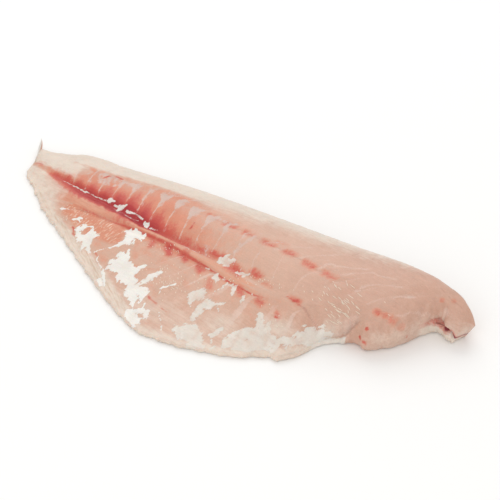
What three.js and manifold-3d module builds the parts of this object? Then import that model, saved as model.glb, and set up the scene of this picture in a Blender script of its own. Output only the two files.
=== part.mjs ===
// A skinned grey mullet fillet, lying on the side that the skin came off, bone side up.
// Millimetres. X runs from the tail (-) to the head end (+), Y from the belly edge (-)
// to the back edge (+), and Z up. The origin is under the middle of the fillet's box.
//
// The fillet is one closed body. Each cross-section, from the tail to the head, is one
// loop: up the belly rim, across the belly wall to the midline ridge where the backbone
// was, up the thick loin to its crest, down over the rounded back, and home along the
// flat underside. Named curves say how wide and how high each cross-section is.
import * as THREE from "three";
import Module from "manifold-3d";
import { mergeVertices } from "three/addons/utils/BufferGeometryUtils.js";

// --- driving sizes ---------------------------------------------------------------
const TAIL_X = -134; // the cut across the tail
const HEAD_X = 133.5; // the tip of the nape lobe
const THICKEST = 22.7; // the loin behind the nape

const STATIONS = 112; // cross-sections from tail to head
const END_CROWDING = 0.55; // how much closer they stand near both ends
const FINE = { under: 10, rim: 14, belly: 90, loin: 60, back: 26, backUnder: 8, flat: 12 };

// Curves along the fillet, as [x, value], joined smoothly and without overshoot.
const BACK_EDGE = [
  [-134, 52.5], [-128, 51.3], [-118, 53.8], [-108, 57.2], [-99, 57.2], [-88, 55.7],
  [-45, 53.9], [20, 49.1], [55, 46.9], [88, 45.3], [103, 42.2], [115, 37.4], [122, 35.4],
  [128, 31], [131.8, 27.4], [133.5, 25.2],
];
const BELLY_EDGE = [
  [-134, 27.5], [-130, 25], [-122, 20.2], [-108, 8.3], [-88, -5], [-55, -27.1],
  [-34, -40.4], [-22, -46.6], [-12, -50.3], [5, -49.9], [20, -47.2], [36, -43.1], [48, -36.7],
  [57, -33.6], [64, -27.2], [69, -16.5], [75, -11.4], [84, -8], [91, -10], [98, -5],
  [102, -1.6], [106, 4], [110, 11.8], [117, 18.4], [124, 15.2], [128, 15.4], [131.2, 20.6], [133.5, 24.5],
];
const MIDLINE = [
  [-134, 42], [-125, 36], [-112, 28], [-100, 20], [-90, 16.7], [-60, 12.2], [-40, 8.7],
  [-20, 4.1], [0, -0.6], [20, -6], [34, -9], [47, -10.2], [62, -7.6], [76, 2],
  [95, 11], [113, 24], [127, 23], [133.5, 24.7],
];
const CREST_HEIGHT = [
  [-134, 2.4], [-130, 4.6], [-118, 6.6], [-80, 11.2], [-28, 17.5], [0, 20], [33, 22],
  [66, THICKEST], [95, THICKEST], [112, 21.5], [122, 19.5], [129, 16], [132, 12.5], [133.5, 9.5],
];
const MIDLINE_HEIGHT = [
  [-134, 2.2], [-130, 3.8], [-90, 7], [-28, 12], [28, 14.6], [76, 19], [95, 20.6],
  [112, 20], [122, 17.8], [129, 14.4], [132, 12], [133.5, 9.2],
];
// The thin belly flap keeps its own rim height where it passes under the thick collar.
const RIM_HEIGHT = [
  [-134, 1.8], [-95, 2.2], [47, 2.6], [64, 3], [75, 3.2], [79, 5], [83, 11.5], [87, 15.5],
  [99, 17.5], [111, 18], [119, 16.6], [127, 13.8], [131, 11.9], [133.5, 9],
];
const COLLAR_HEIGHT = [
  [-134, 1.8], [-95, 2.2], [47, 2.6], [57, 3.4], [64, 8], [70, 12.5], [80, 14.5], [87, 15.5],
  [99, 17.5], [111, 18], [119, 16.6], [127, 13.8], [131, 11.9], [133.5, 9],
];
const BACK_WIDEST_HEIGHT = [
  [-134, 1.2], [-132, 1.8], [-100, 4], [-57, 6.6], [0, 9.4], [57, 10.8], [95, 10.8],
  [120, 9], [133.5, 4.5],
];
const RIM_ROUNDING = [
  [-134, 1.1], [57, 1.4], [68, 1.8], [80, 3.7], [90, 5.4], [104, 6.5], [115, 7], [127, 6], [133.5, 1.4],
];
const BACK_ROUNDING = 9; // how far the back curls under before it lies flat
const NAPE_UNDERCUT = { depth: 4.5, over: 13, below: 9 }; // the head end leans out over its foot

// The relief of the bone side.
const RIDGE = { // flesh left standing where the backbone was cut away
  height: [[-104, 0], [-92, 0.5], [-60, 0.9], [10, 1], [30, 0.6], [46, 0]],
  halfWidth: [[-100, 3.2], [-60, 2.2], [-40, 1.7], [-10, 2], [10, 2.8], [40, 2.4]],
};
const BLOOD_GROOVE = {
  line: [[-134, 38], [-125, 34.6], [-112, 31.2], [-92, 24.8], [-60, 17.3], [-50, 13.4],
    [-38, 10.6], [-20, 6.9], [0, 2.6], [20, -2.6], [36, -6.4]],
  depth: [[-131, 0], [-118, 0.9], [-100, 1.7], [-75, 2.1], [-50, 1.9], [-36, 1.2], [-15, 0.8], [36, 0]],
  width: 2.3,
};
const BELLY_GROOVE = { depth: [[-96, 0], [-80, 0.5], [-40, 0.8], [0, 0.7], [34, 0]], width: 1.1 };
const BENDS = { // the furrow where the loin's flakes turn towards the head
  line: [[-134, 44.5], [-118, 44], [-95, 43], [-72, 39.5], [-50, 36.5], [-36, 33.5],
    [-12, 25.8], [12, 21], [36, 16], [60, 10.7], [80, 9], [105, 12]],
  depth: [[-110, 0], [-90, 0.35], [-40, 0.5], [20, 0.45], [70, 0.3], [85, 0]],
  width: 1.8,
};
const FLAKE = { // one muscle segment after another, pillowed between thin walls
  pitch: [[-134, 8], [-92, 9.6], [-60, 9.2], [-40, 10.3], [-20, 10.6], [0, 12], [30, 13],
    [46, 13], [58, 11.6], [78, 11.6], [92, 15], [110, 14], [134, 12]],
  wallAt: -92, // one wall meets the groove here
  lift: [[-125, 0], [-100, 0.35], [-60, 0.6], [-10, 0.5], [110, 0.3], [125, 0]],
  lean: 0.1,
  napeFrom: 2, // where the walls near the nape start to lean
  step: 5.5, // how far the walls shift under the ridge
};
const CREASE = { // where the belly flap goes under the collar part
  line: [[58, -10.5], [62, -11.6], [66, -13.8], [70, -13.8], [75, -11], [80, -9.6], [85, -8]],
  flapHeight: [[58, 15.5], [62, 12.5], [66, 9], [70, 6], [76, 3.6], [82, 3]],
  rounding: 6, // of the collar part's edge over the flap
  from: [56, 64],
  to: [82, 88],
};
const SLIT = { // the cleft under the nape lobe, above its lower lip
  height: [[108, 9.6], [113, 9.4], [117, 8.5], [122.5, 7.9], [125.2, 6.8], [127.4, 4.4],
    [129.5, 2.6], [133.5, 1.8]],
  depth: [[109, 0], [114, 1.6], [119, 3.2], [123, 3.6], [126.5, 3], [129.5, 1.4], [131.5, 0]],
  halfWidth: 1.05,
};
const TAIL_CUT = [[18, 4], [25, 3.6], [28.5, 2.4], [32, 0.4], [36, 0.3], [40.8, 1], [46, -2.6], [53, -4.4]];
const WISP = { foot: [-136.2, 50.4, 1.3], tip: [-141.3, 57.6, 4.2], radius: 1.1, tipRadius: 0.3, sides: 8 };

// --- small helpers ---------------------------------------------------------------
// A smooth curve through points that never overshoots them.
function curve(points) {
  const n = points.length;
  const step = [];
  const slope = [];
  for (let i = 0; i < n - 1; i++) {
    step.push(points[i + 1][0] - points[i][0]);
    slope.push((points[i + 1][1] - points[i][1]) / step[i]);
  }
  const tangent = points.map((_, i) => {
    if (i === 0) return slope[0];
    if (i === n - 1) return slope[n - 2];
    if (slope[i - 1] * slope[i] <= 0) return 0;
    const before = 2 * step[i] + step[i - 1];
    const after = step[i] + 2 * step[i - 1];
    return (before + after) / (before / slope[i - 1] + after / slope[i]);
  });
  return (x) => {
    const at = THREE.MathUtils.clamp(x, points[0][0], points[n - 1][0]);
    let i = 0;
    while (i < n - 2 && at >= points[i + 1][0]) i++;
    const t = (at - points[i][0]) / step[i];
    return (1 + 2 * t) * (1 - t) ** 2 * points[i][1] + t * (1 - t) ** 2 * step[i] * tangent[i]
      + t * t * (3 - 2 * t) * points[i + 1][1] + t * t * (t - 1) * step[i] * tangent[i + 1];
  };
}

// Straight lines through points.
function straight(points) {
  return (x) => {
    const last = points.length - 1;
    const at = THREE.MathUtils.clamp(x, points[0][0], points[last][0]);
    let i = 0;
    while (i < last - 1 && at > points[i + 1][0]) i++;
    const t = (at - points[i][0]) / (points[i + 1][0] - points[i][0]);
    return points[i][1] + t * (points[i + 1][1] - points[i][1]);
  };
}

const ease = (from, to, x) => {
  const t = THREE.MathUtils.clamp((x - from) / (to - from), 0, 1);
  return t * t * (3 - 2 * t);
};
const bell = (x, centre, width) => Math.exp(-(((x - centre) / width) ** 2));

const backEdge = curve(BACK_EDGE);
const bellyEdge = curve(BELLY_EDGE);
const midline = curve(MIDLINE);
const crestHeight = curve(CREST_HEIGHT);
const midlineHeight = curve(MIDLINE_HEIGHT);
const rimHeight = curve(RIM_HEIGHT);
const collarHeight = curve(COLLAR_HEIGHT);
const backWidestHeight = curve(BACK_WIDEST_HEIGHT);
const rimRounding = curve(RIM_ROUNDING);
const ridgeHeight = straight(RIDGE.height);
const ridgeHalfWidth = straight(RIDGE.halfWidth);
const grooveLine = curve(BLOOD_GROOVE.line);
const grooveDepth = straight(BLOOD_GROOVE.depth);
const bellyGrooveDepth = straight(BELLY_GROOVE.depth);
const bendsLine = curve(BENDS.line);
const bendsDepth = straight(BENDS.depth);
const flakePitch = curve(FLAKE.pitch);
const flakeLift = straight(FLAKE.lift);
const creaseLine = straight(CREASE.line);
const creaseHeight = straight(CREASE.flapHeight);
const slitHeight = straight(SLIT.height);
const slitDepth = straight(SLIT.depth);
const tailCut = curve(TAIL_CUT);

// --- flakes ----------------------------------------------------------------------
// How many flake walls lie between the tail and x, along the midline.
const COUNT_FROM = -200;
const COUNT_STEP = 0.5;
const wallCounts = [0];
for (let x = COUNT_FROM; x < 200; x += COUNT_STEP) {
  wallCounts.push(wallCounts[wallCounts.length - 1] + COUNT_STEP / flakePitch(x + COUNT_STEP / 2));
}
function wallCount(x) {
  const at = THREE.MathUtils.clamp((x - COUNT_FROM) / COUNT_STEP, 0, wallCounts.length - 2);
  const i = Math.floor(at);
  return wallCounts[i] + (at - i) * (wallCounts[i + 1] - wallCounts[i]);
}
const FIRST_WALL = wallCount(FLAKE.wallAt);

// The walls rise nearly straight over the loin and sweep towards the head past the bends.
// Near the nape they lean towards the head from the start. They shift as they pass under
// the ridge, and slant towards the tail over the belly.
function flakePhase(x, y) {
  const middle = midline(x);
  const bend = bendsLine(x);
  const loin = Math.min(Math.max(y - middle, 0), bend - middle);
  const past = Math.max(y - bend, 0);
  const belly = Math.max(middle - y, 0);
  const up = Math.max(y - FLAKE.napeFrom, 0);
  const body = -FLAKE.lean * loin + 0.9 * past + 0.16 * past * past;
  const nape = 0.6 * up + 0.03 * up * up;
  const swept = THREE.MathUtils.lerp(body, nape, ease(40, 62, x))
    - belly * (0.85 - 0.75 * ease(-20, 40, x)) - FLAKE.step * ease(0, 5, belly) * ease(-20, 12, x);
  return wallCount(x - swept) - FIRST_WALL;
}

// --- relief ----------------------------------------------------------------------
function relief(x, y) {
  const side = y - midline(x);
  const half = ridgeHalfWidth(x);
  let z = ridgeHeight(x) * Math.exp(-((side / half) ** 4));
  z -= grooveDepth(x) * bell(y, grooveLine(x), BLOOD_GROOVE.width);
  z -= bellyGrooveDepth(x) * bell(side, -1.5 * half - 0.4, BELLY_GROOVE.width);
  z -= bendsDepth(x) * bell(y, bendsLine(x), BENDS.width);
  const pillow = Math.abs(Math.sin(Math.PI * flakePhase(x, y))) ** 0.7 - 0.6;
  const share = side > 0 ? ease(3, 7, side) : 0.55 * ease(3, 7, -side);
  const pastBends = 1 - ease(1, 7, y - bendsLine(x));
  return z + flakeLift(x) * share * pastBends * pillow;
}

// The cut edges are uneven: a few waves whose lengths share no common step.
function ragged(x, shift) {
  return 0.5 * Math.sin(0.63 * x + 1.7 * shift) + 0.35 * Math.sin(1.17 * x + 3.57 * shift)
    + 0.3 * Math.sin(1.93 * x + 6.29 * shift);
}

const tucked = (x) => ease(...CREASE.from, x) * (1 - ease(...CREASE.to, x));

function flapHeight(x, y, thickHeight, bellyY, rim) {
  const fold = creaseLine(x);
  const across = THREE.MathUtils.clamp((y - bellyY) / Math.max(fold - bellyY, 1), 0, 1);
  const flap = Math.min(rim + Math.max(creaseHeight(x) - rim, 0) * across ** 1.3, thickHeight);
  const up = THREE.MathUtils.clamp((y - fold) / CREASE.rounding, 0, 1);
  const thick = Math.sin((up * Math.PI) / 2);
  return thickHeight + (flap - thickHeight) * (1 - thick) * tucked(x);
}

// --- one cross-section -------------------------------------------------------------
const LOBE = { x: 55.6, out: 1.8, width: 2, notchX: 51.6, notchIn: 1.1, notchWidth: 1.4 };

function crossSection(x) {
  const rough = (0.55 + 0.35 * ease(-60, -110, x)) * ease(HEAD_X, HEAD_X - 8, x)
    * ease(TAIL_X - 1, TAIL_X + 3, x);
  const belly = bellyEdge(x) - ragged(x, 1) * rough - LOBE.out * bell(x, LOBE.x, LOBE.width)
    + LOBE.notchIn * bell(x, LOBE.notchX, LOBE.notchWidth);
  const back = backEdge(x) + 0.25 * ragged(x, 2) * rough;
  const width = back - belly;
  const middle = THREE.MathUtils.clamp(midline(x), belly + 0.12 * width, back - 0.2 * width);
  const crest = middle + 0.5 * (back - middle);
  const midZ = midlineHeight(x);
  const crestZ = Math.max(crestHeight(x), midZ);
  const rimZ = rimHeight(x);
  const rimWidest = 0.45 * rimZ;
  const rimRound = Math.min(rimRounding(x), 0.25 * width);
  const underRound = Math.min(0.7 * rimRound, 0.2 * width);
  const backZ = backWidestHeight(x);
  const backRound = Math.min(BACK_ROUNDING, 0.25 * width);
  const ends = ease(TAIL_X + 2, TAIL_X + 14, x) * (1 - ease(HEAD_X - 8, HEAD_X - 1, x));
  const domes = ease(55, 85, x); // how far the belly side bulges instead of sagging
  // The rim ends at the slope that the belly side starts with.
  const slope = (0.35 + 0.99 * domes) * (midZ - collarHeight(x)) / (middle - belly - rimRound);
  const carried = slope * (1 - tucked(x)) * rimRound;

  const loop = [];
  const raised = (y, z, share) => {
    if (share <= 0) return z;
    return Math.max(z + relief(x, y) * share * ends, Math.min(z, 1.4));
  };
  const cleft = (y, z) => {
    if (x < 106) return y;
    return y + slitDepth(x) * Math.exp(-(Math.abs((z - slitHeight(x)) / SLIT.halfWidth) ** 2.2));
  };
  const put = (y, z) => loop.push([x, y, z]);

  for (let i = 0; i < FINE.under; i++) {
    const a = (i / FINE.under) * (Math.PI / 2);
    const z = rimWidest * (1 - Math.cos(a));
    put(cleft(belly + underRound * (1 - Math.sin(a)), z), z);
  }
  for (let i = 0; i < FINE.rim; i++) {
    const a = (i / FINE.rim) * (Math.PI / 2);
    const z = rimWidest + (rimZ - rimWidest - carried) * Math.sin(a) + carried * (1 - Math.cos(a));
    put(cleft(belly + rimRound * (1 - Math.cos(a)), z), z);
  }
  for (let i = 0; i < FINE.belly; i++) {
    const t = i / FINE.belly;
    const y = belly + rimRound + (middle - belly - rimRound) * t;
    const hollow = 0.39 * t * t * (3 - 2 * t) + 0.35 * t + 0.26 * t ** 1.6;
    const domed = 0.6 * Math.sin((t * Math.PI) / 2) + 0.4 * t;
    const rise = hollow + (domed - hollow) * domes;
    let z = collarHeight(x) + (midZ - collarHeight(x)) * rise;
    if (x < 90) z = flapHeight(x, y, z, belly, rimZ);
    put(y, raised(y, z, ease(0, 0.1, t)));
  }
  for (let i = 0; i < FINE.loin; i++) {
    const t = i / FINE.loin;
    const y = middle + (crest - middle) * t;
    put(y, raised(y, midZ + (crestZ - midZ) * Math.sin((t * Math.PI) / 2), 1));
  }
  for (let i = 0; i < FINE.back; i++) {
    const a = (i / FINE.back) * (Math.PI / 2);
    const y = crest + (back - crest) * Math.sin(a);
    const share = Math.sqrt(Math.cos(a)) * (1 - ease(0.75, 1, Math.sin(a)));
    put(y, raised(y, backZ + (crestZ - backZ) * Math.cos(a), share));
  }
  for (let i = 0; i < FINE.backUnder; i++) {
    const a = (i / FINE.backUnder) * (Math.PI / 2);
    put(back - backRound * (1 - Math.cos(a)), backZ * (1 - Math.sin(a)));
  }
  for (let i = 0; i < FINE.flat; i++) {
    const t = i / FINE.flat;
    put(back - backRound + (belly + underRound - back + backRound) * t, 0);
  }
  return loop;
}

// The mesh keeps this many points of each stretch of the loop. They stand closer at the
// grooves, the crease and the slit.
const STRETCHES = [
  { fine: FINE.under + FINE.rim, kept: 9 },
  { fine: FINE.belly, kept: 12 },
  { fine: FINE.loin, kept: 9 },
  { fine: FINE.back, kept: 6 },
  { fine: FINE.backUnder, kept: 3 },
  { fine: FINE.flat, kept: 3 },
];
const LOOP_POINTS = STRETCHES.reduce((sum, stretch) => sum + stretch.kept, 0);
const CROWDING = { groove: 2.2, ridge: 1.8, crease: 2, slit: 3 };

function crowding([x, y, z]) {
  return 1 + CROWDING.groove * bell(y, grooveLine(x), 3.5) * ease(-130, -110, x) * (1 - ease(20, 45, x))
    + CROWDING.ridge * bell(y, midline(x) - 2, 4) * ease(-110, -90, x) * (1 - ease(30, 55, x))
    + CROWDING.crease * bell(y, creaseLine(x) + 1, 2.5) * ease(50, 64, x) * (1 - ease(80, 94, x))
    + CROWDING.slit * bell(z, slitHeight(x), 2.4) * ease(104, 115, x) * (y < midline(x) ? 1 : 0);
}

function thinned(loop) {
  const points = [];
  let first = 0;
  for (const { fine, kept } of STRETCHES) {
    const run = [0];
    for (let i = 0; i < fine; i++) {
      const a = loop[first + i];
      const b = loop[(first + i + 1) % loop.length];
      run.push(run[i] + Math.hypot(b[1] - a[1], b[2] - a[2]) * crowding(a));
    }
    let i = 0;
    for (let k = 0; k < kept; k++) {
      const goal = (run[fine] * k) / kept;
      while (run[i + 1] < goal) i++;
      const t = (goal - run[i]) / Math.max(run[i + 1] - run[i], 1e-9);
      const a = loop[first + i];
      const b = loop[(first + i + 1) % loop.length];
      points.push(a.map((v, j) => v + t * (b[j] - v)));
    }
    first += fine;
  }
  return points;
}

// --- the body ----------------------------------------------------------------------
function bodyGeometry() {
  const positions = [];
  const faces = [];
  for (let s = 0; s < STATIONS; s++) {
    const t = s / (STATIONS - 1);
    const along = t - (END_CROWDING * Math.sin(2 * Math.PI * t)) / (2 * Math.PI);
    const x = TAIL_X + (HEAD_X - TAIL_X) * along;
    for (const [px, py, pz] of thinned(crossSection(x))) {
      const cut = tailCut(py) * (1 - ease(TAIL_X, TAIL_X + 16, px));
      const foot = THREE.MathUtils.clamp(1 - pz / NAPE_UNDERCUT.below, 0, 1);
      const lean = NAPE_UNDERCUT.depth * foot * ease(HEAD_X - NAPE_UNDERCUT.over, HEAD_X, px);
      positions.push(px + cut - lean, py, pz);
    }
  }
  const at = (s, k) => s * LOOP_POINTS + (k % LOOP_POINTS);
  const gap = (i, j, axis) => positions[3 * i + axis] - positions[3 * j + axis];
  const apart = (i, j) => Math.hypot(gap(i, j, 0), gap(i, j, 1), gap(i, j, 2));
  for (let s = 0; s < STATIONS - 1; s++) {
    for (let k = 0; k < LOOP_POINTS; k++) {
      const [a, b, c, d] = [at(s, k), at(s + 1, k), at(s + 1, k + 1), at(s, k + 1)];
      if (apart(a, c) <= apart(b, d)) faces.push([a, b, c], [a, c, d]);
      else faces.push([a, b, d], [b, c, d]);
    }
  }
  for (const s of [0, STATIONS - 1]) {
    const centre = [0, 0, 0];
    for (let k = 0; k < LOOP_POINTS; k++) {
      for (let j = 0; j < 3; j++) centre[j] += positions[3 * at(s, k) + j] / LOOP_POINTS;
    }
    const hub = positions.length / 3;
    positions.push(...centre);
    for (let k = 0; k < LOOP_POINTS; k++) {
      faces.push(s === 0 ? [hub, at(s, k), at(s, k + 1)] : [hub, at(s, k + 1), at(s, k)]);
    }
  }
  const geometry = new THREE.BufferGeometry();
  geometry.setAttribute("position", new THREE.Float32BufferAttribute(positions, 3));
  geometry.setIndex(faces.flat());
  return geometry;
}

// The thin point of membrane left standing at the back corner of the tail.
function wispGeometry() {
  const foot = new THREE.Vector3(...WISP.foot);
  const tip = new THREE.Vector3(...WISP.tip);
  const along = new THREE.Vector3().subVectors(tip, foot);
  const geometry = new THREE.CylinderGeometry(WISP.tipRadius, WISP.radius, along.length(), WISP.sides, 3);
  geometry.applyQuaternion(new THREE.Quaternion().setFromUnitVectors(
    new THREE.Vector3(0, 1, 0), along.clone().normalize()));
  const middle = foot.clone().addScaledVector(along, 0.5);
  geometry.translate(middle.x, middle.y, middle.z);
  return geometry;
}

// --- joining -----------------------------------------------------------------------
const manifold = await Module();
manifold.setup();

function solid(geometry) {
  geometry.deleteAttribute("normal");
  geometry.deleteAttribute("uv");
  const merged = mergeVertices(geometry, 1e-4);
  return new manifold.Manifold(new manifold.Mesh({
    numProp: 3,
    vertProperties: new Float32Array(merged.attributes.position.array),
    triVerts: new Uint32Array(merged.index.array),
  }));
}

const joined = solid(bodyGeometry()).add(solid(wispGeometry())).getMesh();
const geometry = new THREE.BufferGeometry();
geometry.setAttribute("position", new THREE.BufferAttribute(joined.vertProperties, 3));
geometry.setIndex(new THREE.BufferAttribute(joined.triVerts, 1));
geometry.computeBoundingBox();
const box = geometry.boundingBox;
geometry.translate(-(box.min.x + box.max.x) / 2, -(box.min.y + box.max.y) / 2, -box.min.z);
geometry.computeVertexNormals();

// Moist raw white-fish flesh: pale pinkish beige, fairly smooth.
const flesh = new THREE.MeshStandardMaterial({ color: 0xdcb5a0, roughness: 0.42, metalness: 0 });
const fillet = new THREE.Mesh(geometry, flesh);
fillet.name = "fillet";

const model = new THREE.Group();
model.add(fillet);
export default model;
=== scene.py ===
# %% [markdown]
# # A raw grey mullet fillet
#
# A fillet is one side of a fish, cut off the backbone and skinned. This one lies on the side
# that the skin came off, so what shows is the bone side: a thick rounded loin, a thin belly
# flap, and between them a ridge with a dark blood line, where the backbone was cut away.
#
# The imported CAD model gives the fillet's true shape in about ten thousand faces. This lesson
# grows the same shape again, finely enough for wet flesh, and finishes it. It loads the frame
# first, because everything else has to fit inside it.

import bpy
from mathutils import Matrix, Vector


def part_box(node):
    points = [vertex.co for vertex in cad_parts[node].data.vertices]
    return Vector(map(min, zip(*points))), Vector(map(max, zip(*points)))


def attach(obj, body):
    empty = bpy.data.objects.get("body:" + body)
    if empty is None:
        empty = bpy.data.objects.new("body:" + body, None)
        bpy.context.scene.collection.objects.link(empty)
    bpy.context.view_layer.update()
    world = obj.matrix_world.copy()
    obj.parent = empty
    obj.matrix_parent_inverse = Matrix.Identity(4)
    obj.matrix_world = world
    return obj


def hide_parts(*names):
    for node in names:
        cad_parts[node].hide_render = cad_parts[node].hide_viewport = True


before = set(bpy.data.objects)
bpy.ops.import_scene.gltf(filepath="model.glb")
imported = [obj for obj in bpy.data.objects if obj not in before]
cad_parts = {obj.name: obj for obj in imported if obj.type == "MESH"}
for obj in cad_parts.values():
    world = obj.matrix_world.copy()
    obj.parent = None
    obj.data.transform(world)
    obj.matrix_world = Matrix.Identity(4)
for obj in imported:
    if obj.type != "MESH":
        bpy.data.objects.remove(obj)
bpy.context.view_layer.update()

import math

import bpy
import numpy as np
from mathutils import Vector

MM, MM_IN_M = 0.001, 1000  # a millimetre in metres, and the millimetres in a metre
fillet_low, fillet_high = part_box("fillet")
print("CAD box, mm:", [round(MM_IN_M * (h - l), 1) for l, h in zip(fillet_low, fillet_high)])

# %% [markdown]
# ## Curves along the fillet
#
# A fish tapers, so almost every size of a fillet is a curve along its length. Each curve is
# a few measured points, joined so that it never overshoots them. All these sizes are in
# millimetres, with X from the tail to the head end, Y from the belly edge to the back edge,
# and Z up.

# %% Curve and easing helpers
def curve(points):
    """A smooth curve through points that never overshoots them."""
    xs, ys = np.array(points, float).T
    step = np.diff(xs)
    slope = np.diff(ys) / step
    tangent = np.concatenate([slope[:1], np.zeros(len(xs) - 2), slope[-1:]])
    for i in range(1, len(xs) - 1):
        if slope[i - 1] * slope[i] > 0:
            before = 2 * step[i] + step[i - 1]
            after = step[i] + 2 * step[i - 1]
            tangent[i] = (before + after) / (before / slope[i - 1] + after / slope[i])

    def value(x):
        at = np.clip(x, xs[0], xs[-1])
        i = np.clip(np.searchsorted(xs, at, side="right") - 1, 0, len(xs) - 2)
        t = (at - xs[i]) / step[i]
        return ((1 + 2 * t) * (1 - t) ** 2 * ys[i] + t * (1 - t) ** 2 * step[i] * tangent[i]
                + t * t * (3 - 2 * t) * ys[i + 1] + t * t * (t - 1) * step[i] * tangent[i + 1])

    return value


def straight(points):
    """Straight lines through points."""
    xs, ys = np.array(points, float).T
    return lambda x: np.interp(x, xs, ys)


def ease(start, end, x):
    """0 before start and 1 after end, with a soft change between them."""
    t = np.clip((np.asarray(x, float) - start) / (end - start), 0, 1)
    return t * t * (3 - 2 * t)


def bell(x, centre, width):
    """1 at the centre, and soon 0 beyond the width."""
    return np.exp(-(((x - centre) / width) ** 2))


def between(x, a, b, c, d):
    """0 before a, 1 from b to c, and 0 after d."""
    return ease(a, b, x) * (1 - ease(c, d, x))


# %% The outline and the heights
TAIL_X, HEAD_X = -134.0, 133.5
THICKEST = 22.7

back_edge = curve([
    (-134, 52.5), (-128, 51.3), (-118, 53.8), (-108, 57.2), (-99, 57.2), (-88, 55.7),
    (-45, 53.9), (20, 49.1), (55, 46.9), (88, 45.3), (103, 42.2), (115, 37.4),
    (122, 35.4), (128, 31), (131.8, 27.4), (133.5, 25.2)])
belly_edge = curve([
    (-134, 27.5), (-130, 25), (-122, 20.2), (-108, 8.3), (-88, -5), (-55, -27.1),
    (-34, -40.4), (-22, -46.6), (-12, -50.3), (5, -49.9), (20, -47.2), (36, -43.1), (48, -36.7),
    (57, -33.6), (64, -27.2), (69, -16.5), (75, -11.4), (84, -8), (91, -10),
    (98, -5), (102, -1.6), (106, 4), (110, 11.8), (117, 18.4), (124, 15.2), (128, 15.4), (131.2, 20.6),
    (133.5, 24.5)])
midline = curve([
    (-134, 42), (-125, 36), (-112, 28), (-100, 20), (-90, 16.7), (-60, 12.2), (-40, 8.7),
    (-20, 4.1), (0, -0.6), (20, -6), (34, -9), (47, -10.2), (62, -7.6), (76, 2),
    (95, 11), (113, 24), (127, 23), (133.5, 24.7)])
crest_height = curve([
    (-134, 2.4), (-130, 4.6), (-118, 6.6), (-80, 11.2), (-28, 17.5), (0, 20), (33, 22),
    (66, THICKEST), (95, THICKEST), (112, 21.5), (122, 19.5), (129, 16), (132, 12.5),
    (133.5, 9.5)])
midline_height = curve([
    (-134, 2.2), (-130, 3.8), (-90, 7), (-28, 12), (28, 14.6), (76, 19), (95, 20.6),
    (112, 20), (122, 17.8), (129, 14.4), (132, 12), (133.5, 9.2)])
rim_height = curve([
    (-134, 1.8), (-95, 2.2), (47, 2.6), (64, 3), (75, 3.2), (79, 5), (83, 11.5), (87, 15.5),
    (99, 17.5), (111, 18), (119, 16.6), (127, 13.8), (131, 11.9), (133.5, 9)])
collar_height = curve([
    (-134, 1.8), (-95, 2.2), (47, 2.6), (57, 3.4), (64, 8), (70, 12.5), (80, 14.5),
    (87, 15.5), (99, 17.5), (111, 18), (119, 16.6), (127, 13.8), (131, 11.9), (133.5, 9)])
back_widest_height = curve([
    (-134, 1.2), (-132, 1.8), (-100, 4), (-57, 6.6), (0, 9.4), (57, 10.8), (95, 10.8),
    (120, 9), (133.5, 4.5)])
rim_rounding = curve([
    (-134, 1.1), (57, 1.4), (68, 1.8), (80, 3.7), (90, 5.4), (104, 6.5), (115, 7),
    (127, 6), (133.5, 1.4)])
BACK_ROUNDING = 9
NAPE_UNDERCUT = 4.5
tail_cut = curve([
    (18, 4), (25, 3.6), (28.5, 2.4), (32, 0.4), (36, 0.3), (40.8, 1), (46, -2.6), (53, -4.4)])
print("from tail cut to nape, mm:", HEAD_X - TAIL_X)

# %% [markdown]
# ## Flakes
#
# Fish muscle is a row of segments, the flakes, with a thin pale wall between each two. On
# the bone side the walls rise almost straight over the loin, turn at a furrow, and sweep
# towards the head along the back. Over the belly they slant towards the tail. One number,
# the flake phase, says all of this: it grows by one from each wall to the next. The relief
# and the colour both read it, so they always agree.

# %% Flake phase
flake_pitch = curve([
    (-134, 8), (-92, 9.6), (-60, 9.2), (-40, 10.3), (-20, 10.6), (0, 12), (30, 13), (46, 13),
    (58, 11.6), (78, 11.6), (92, 15), (110, 14), (134, 12)])
WALL_AT = -92  # one wall meets the blood line here

TABLE_STEP = 0.25
table_x = np.arange(-300, 300, TABLE_STEP)
walls_passed = np.cumsum(TABLE_STEP / flake_pitch(table_x[:-1] + TABLE_STEP / 2))
walls_passed = np.concatenate([[0], walls_passed])
walls_passed = walls_passed - np.interp(WALL_AT, table_x, walls_passed)


def wall_count(x):
    """How many walls lie between one that meets the blood line and a place on the midline."""
    return np.interp(x, table_x, walls_passed)


def wall_x(number):
    """Where along the fillet a wall stands, from its number."""
    return float(np.interp(number, walls_passed, table_x))


blood_line = curve([
    (-134, 38), (-125, 34.6), (-112, 31.2), (-92, 24.8), (-60, 17.3), (-50, 13.4),
    (-38, 10.6), (-20, 6.9), (0, 2.6), (20, -2.6), (36, -6.4)])
bends_line = curve([
    (-134, 44.5), (-118, 44), (-95, 43), (-72, 39.5), (-50, 36.5), (-36, 33.5),
    (-12, 25.8), (12, 21), (36, 16), (60, 10.7), (80, 9), (105, 12)])


def flake_phase(x, y):
    """The flake phase: each wall is followed back along its sweep to the midline, and counted."""
    middle, bend = midline(x), bends_line(x)
    loin = np.clip(y - middle, 0, bend - middle)
    past = np.maximum(y - bend, 0)
    belly = np.maximum(middle - y, 0)
    up = np.maximum(y - 2, 0)
    swept = -0.1 * loin + 0.9 * past + 0.16 * past ** 2
    swept = swept + (0.6 * up + 0.03 * up ** 2 - swept) * ease(40, 62, x)
    swept = swept - belly * (0.85 - 0.75 * ease(-20, 40, x)) - 5.5 * ease(0, 5, belly) * ease(-20, 12, x)
    return wall_count(x - swept)


print("flakes along the midline:", round(float(wall_count(HEAD_X) - wall_count(TAIL_X)), 1))

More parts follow.
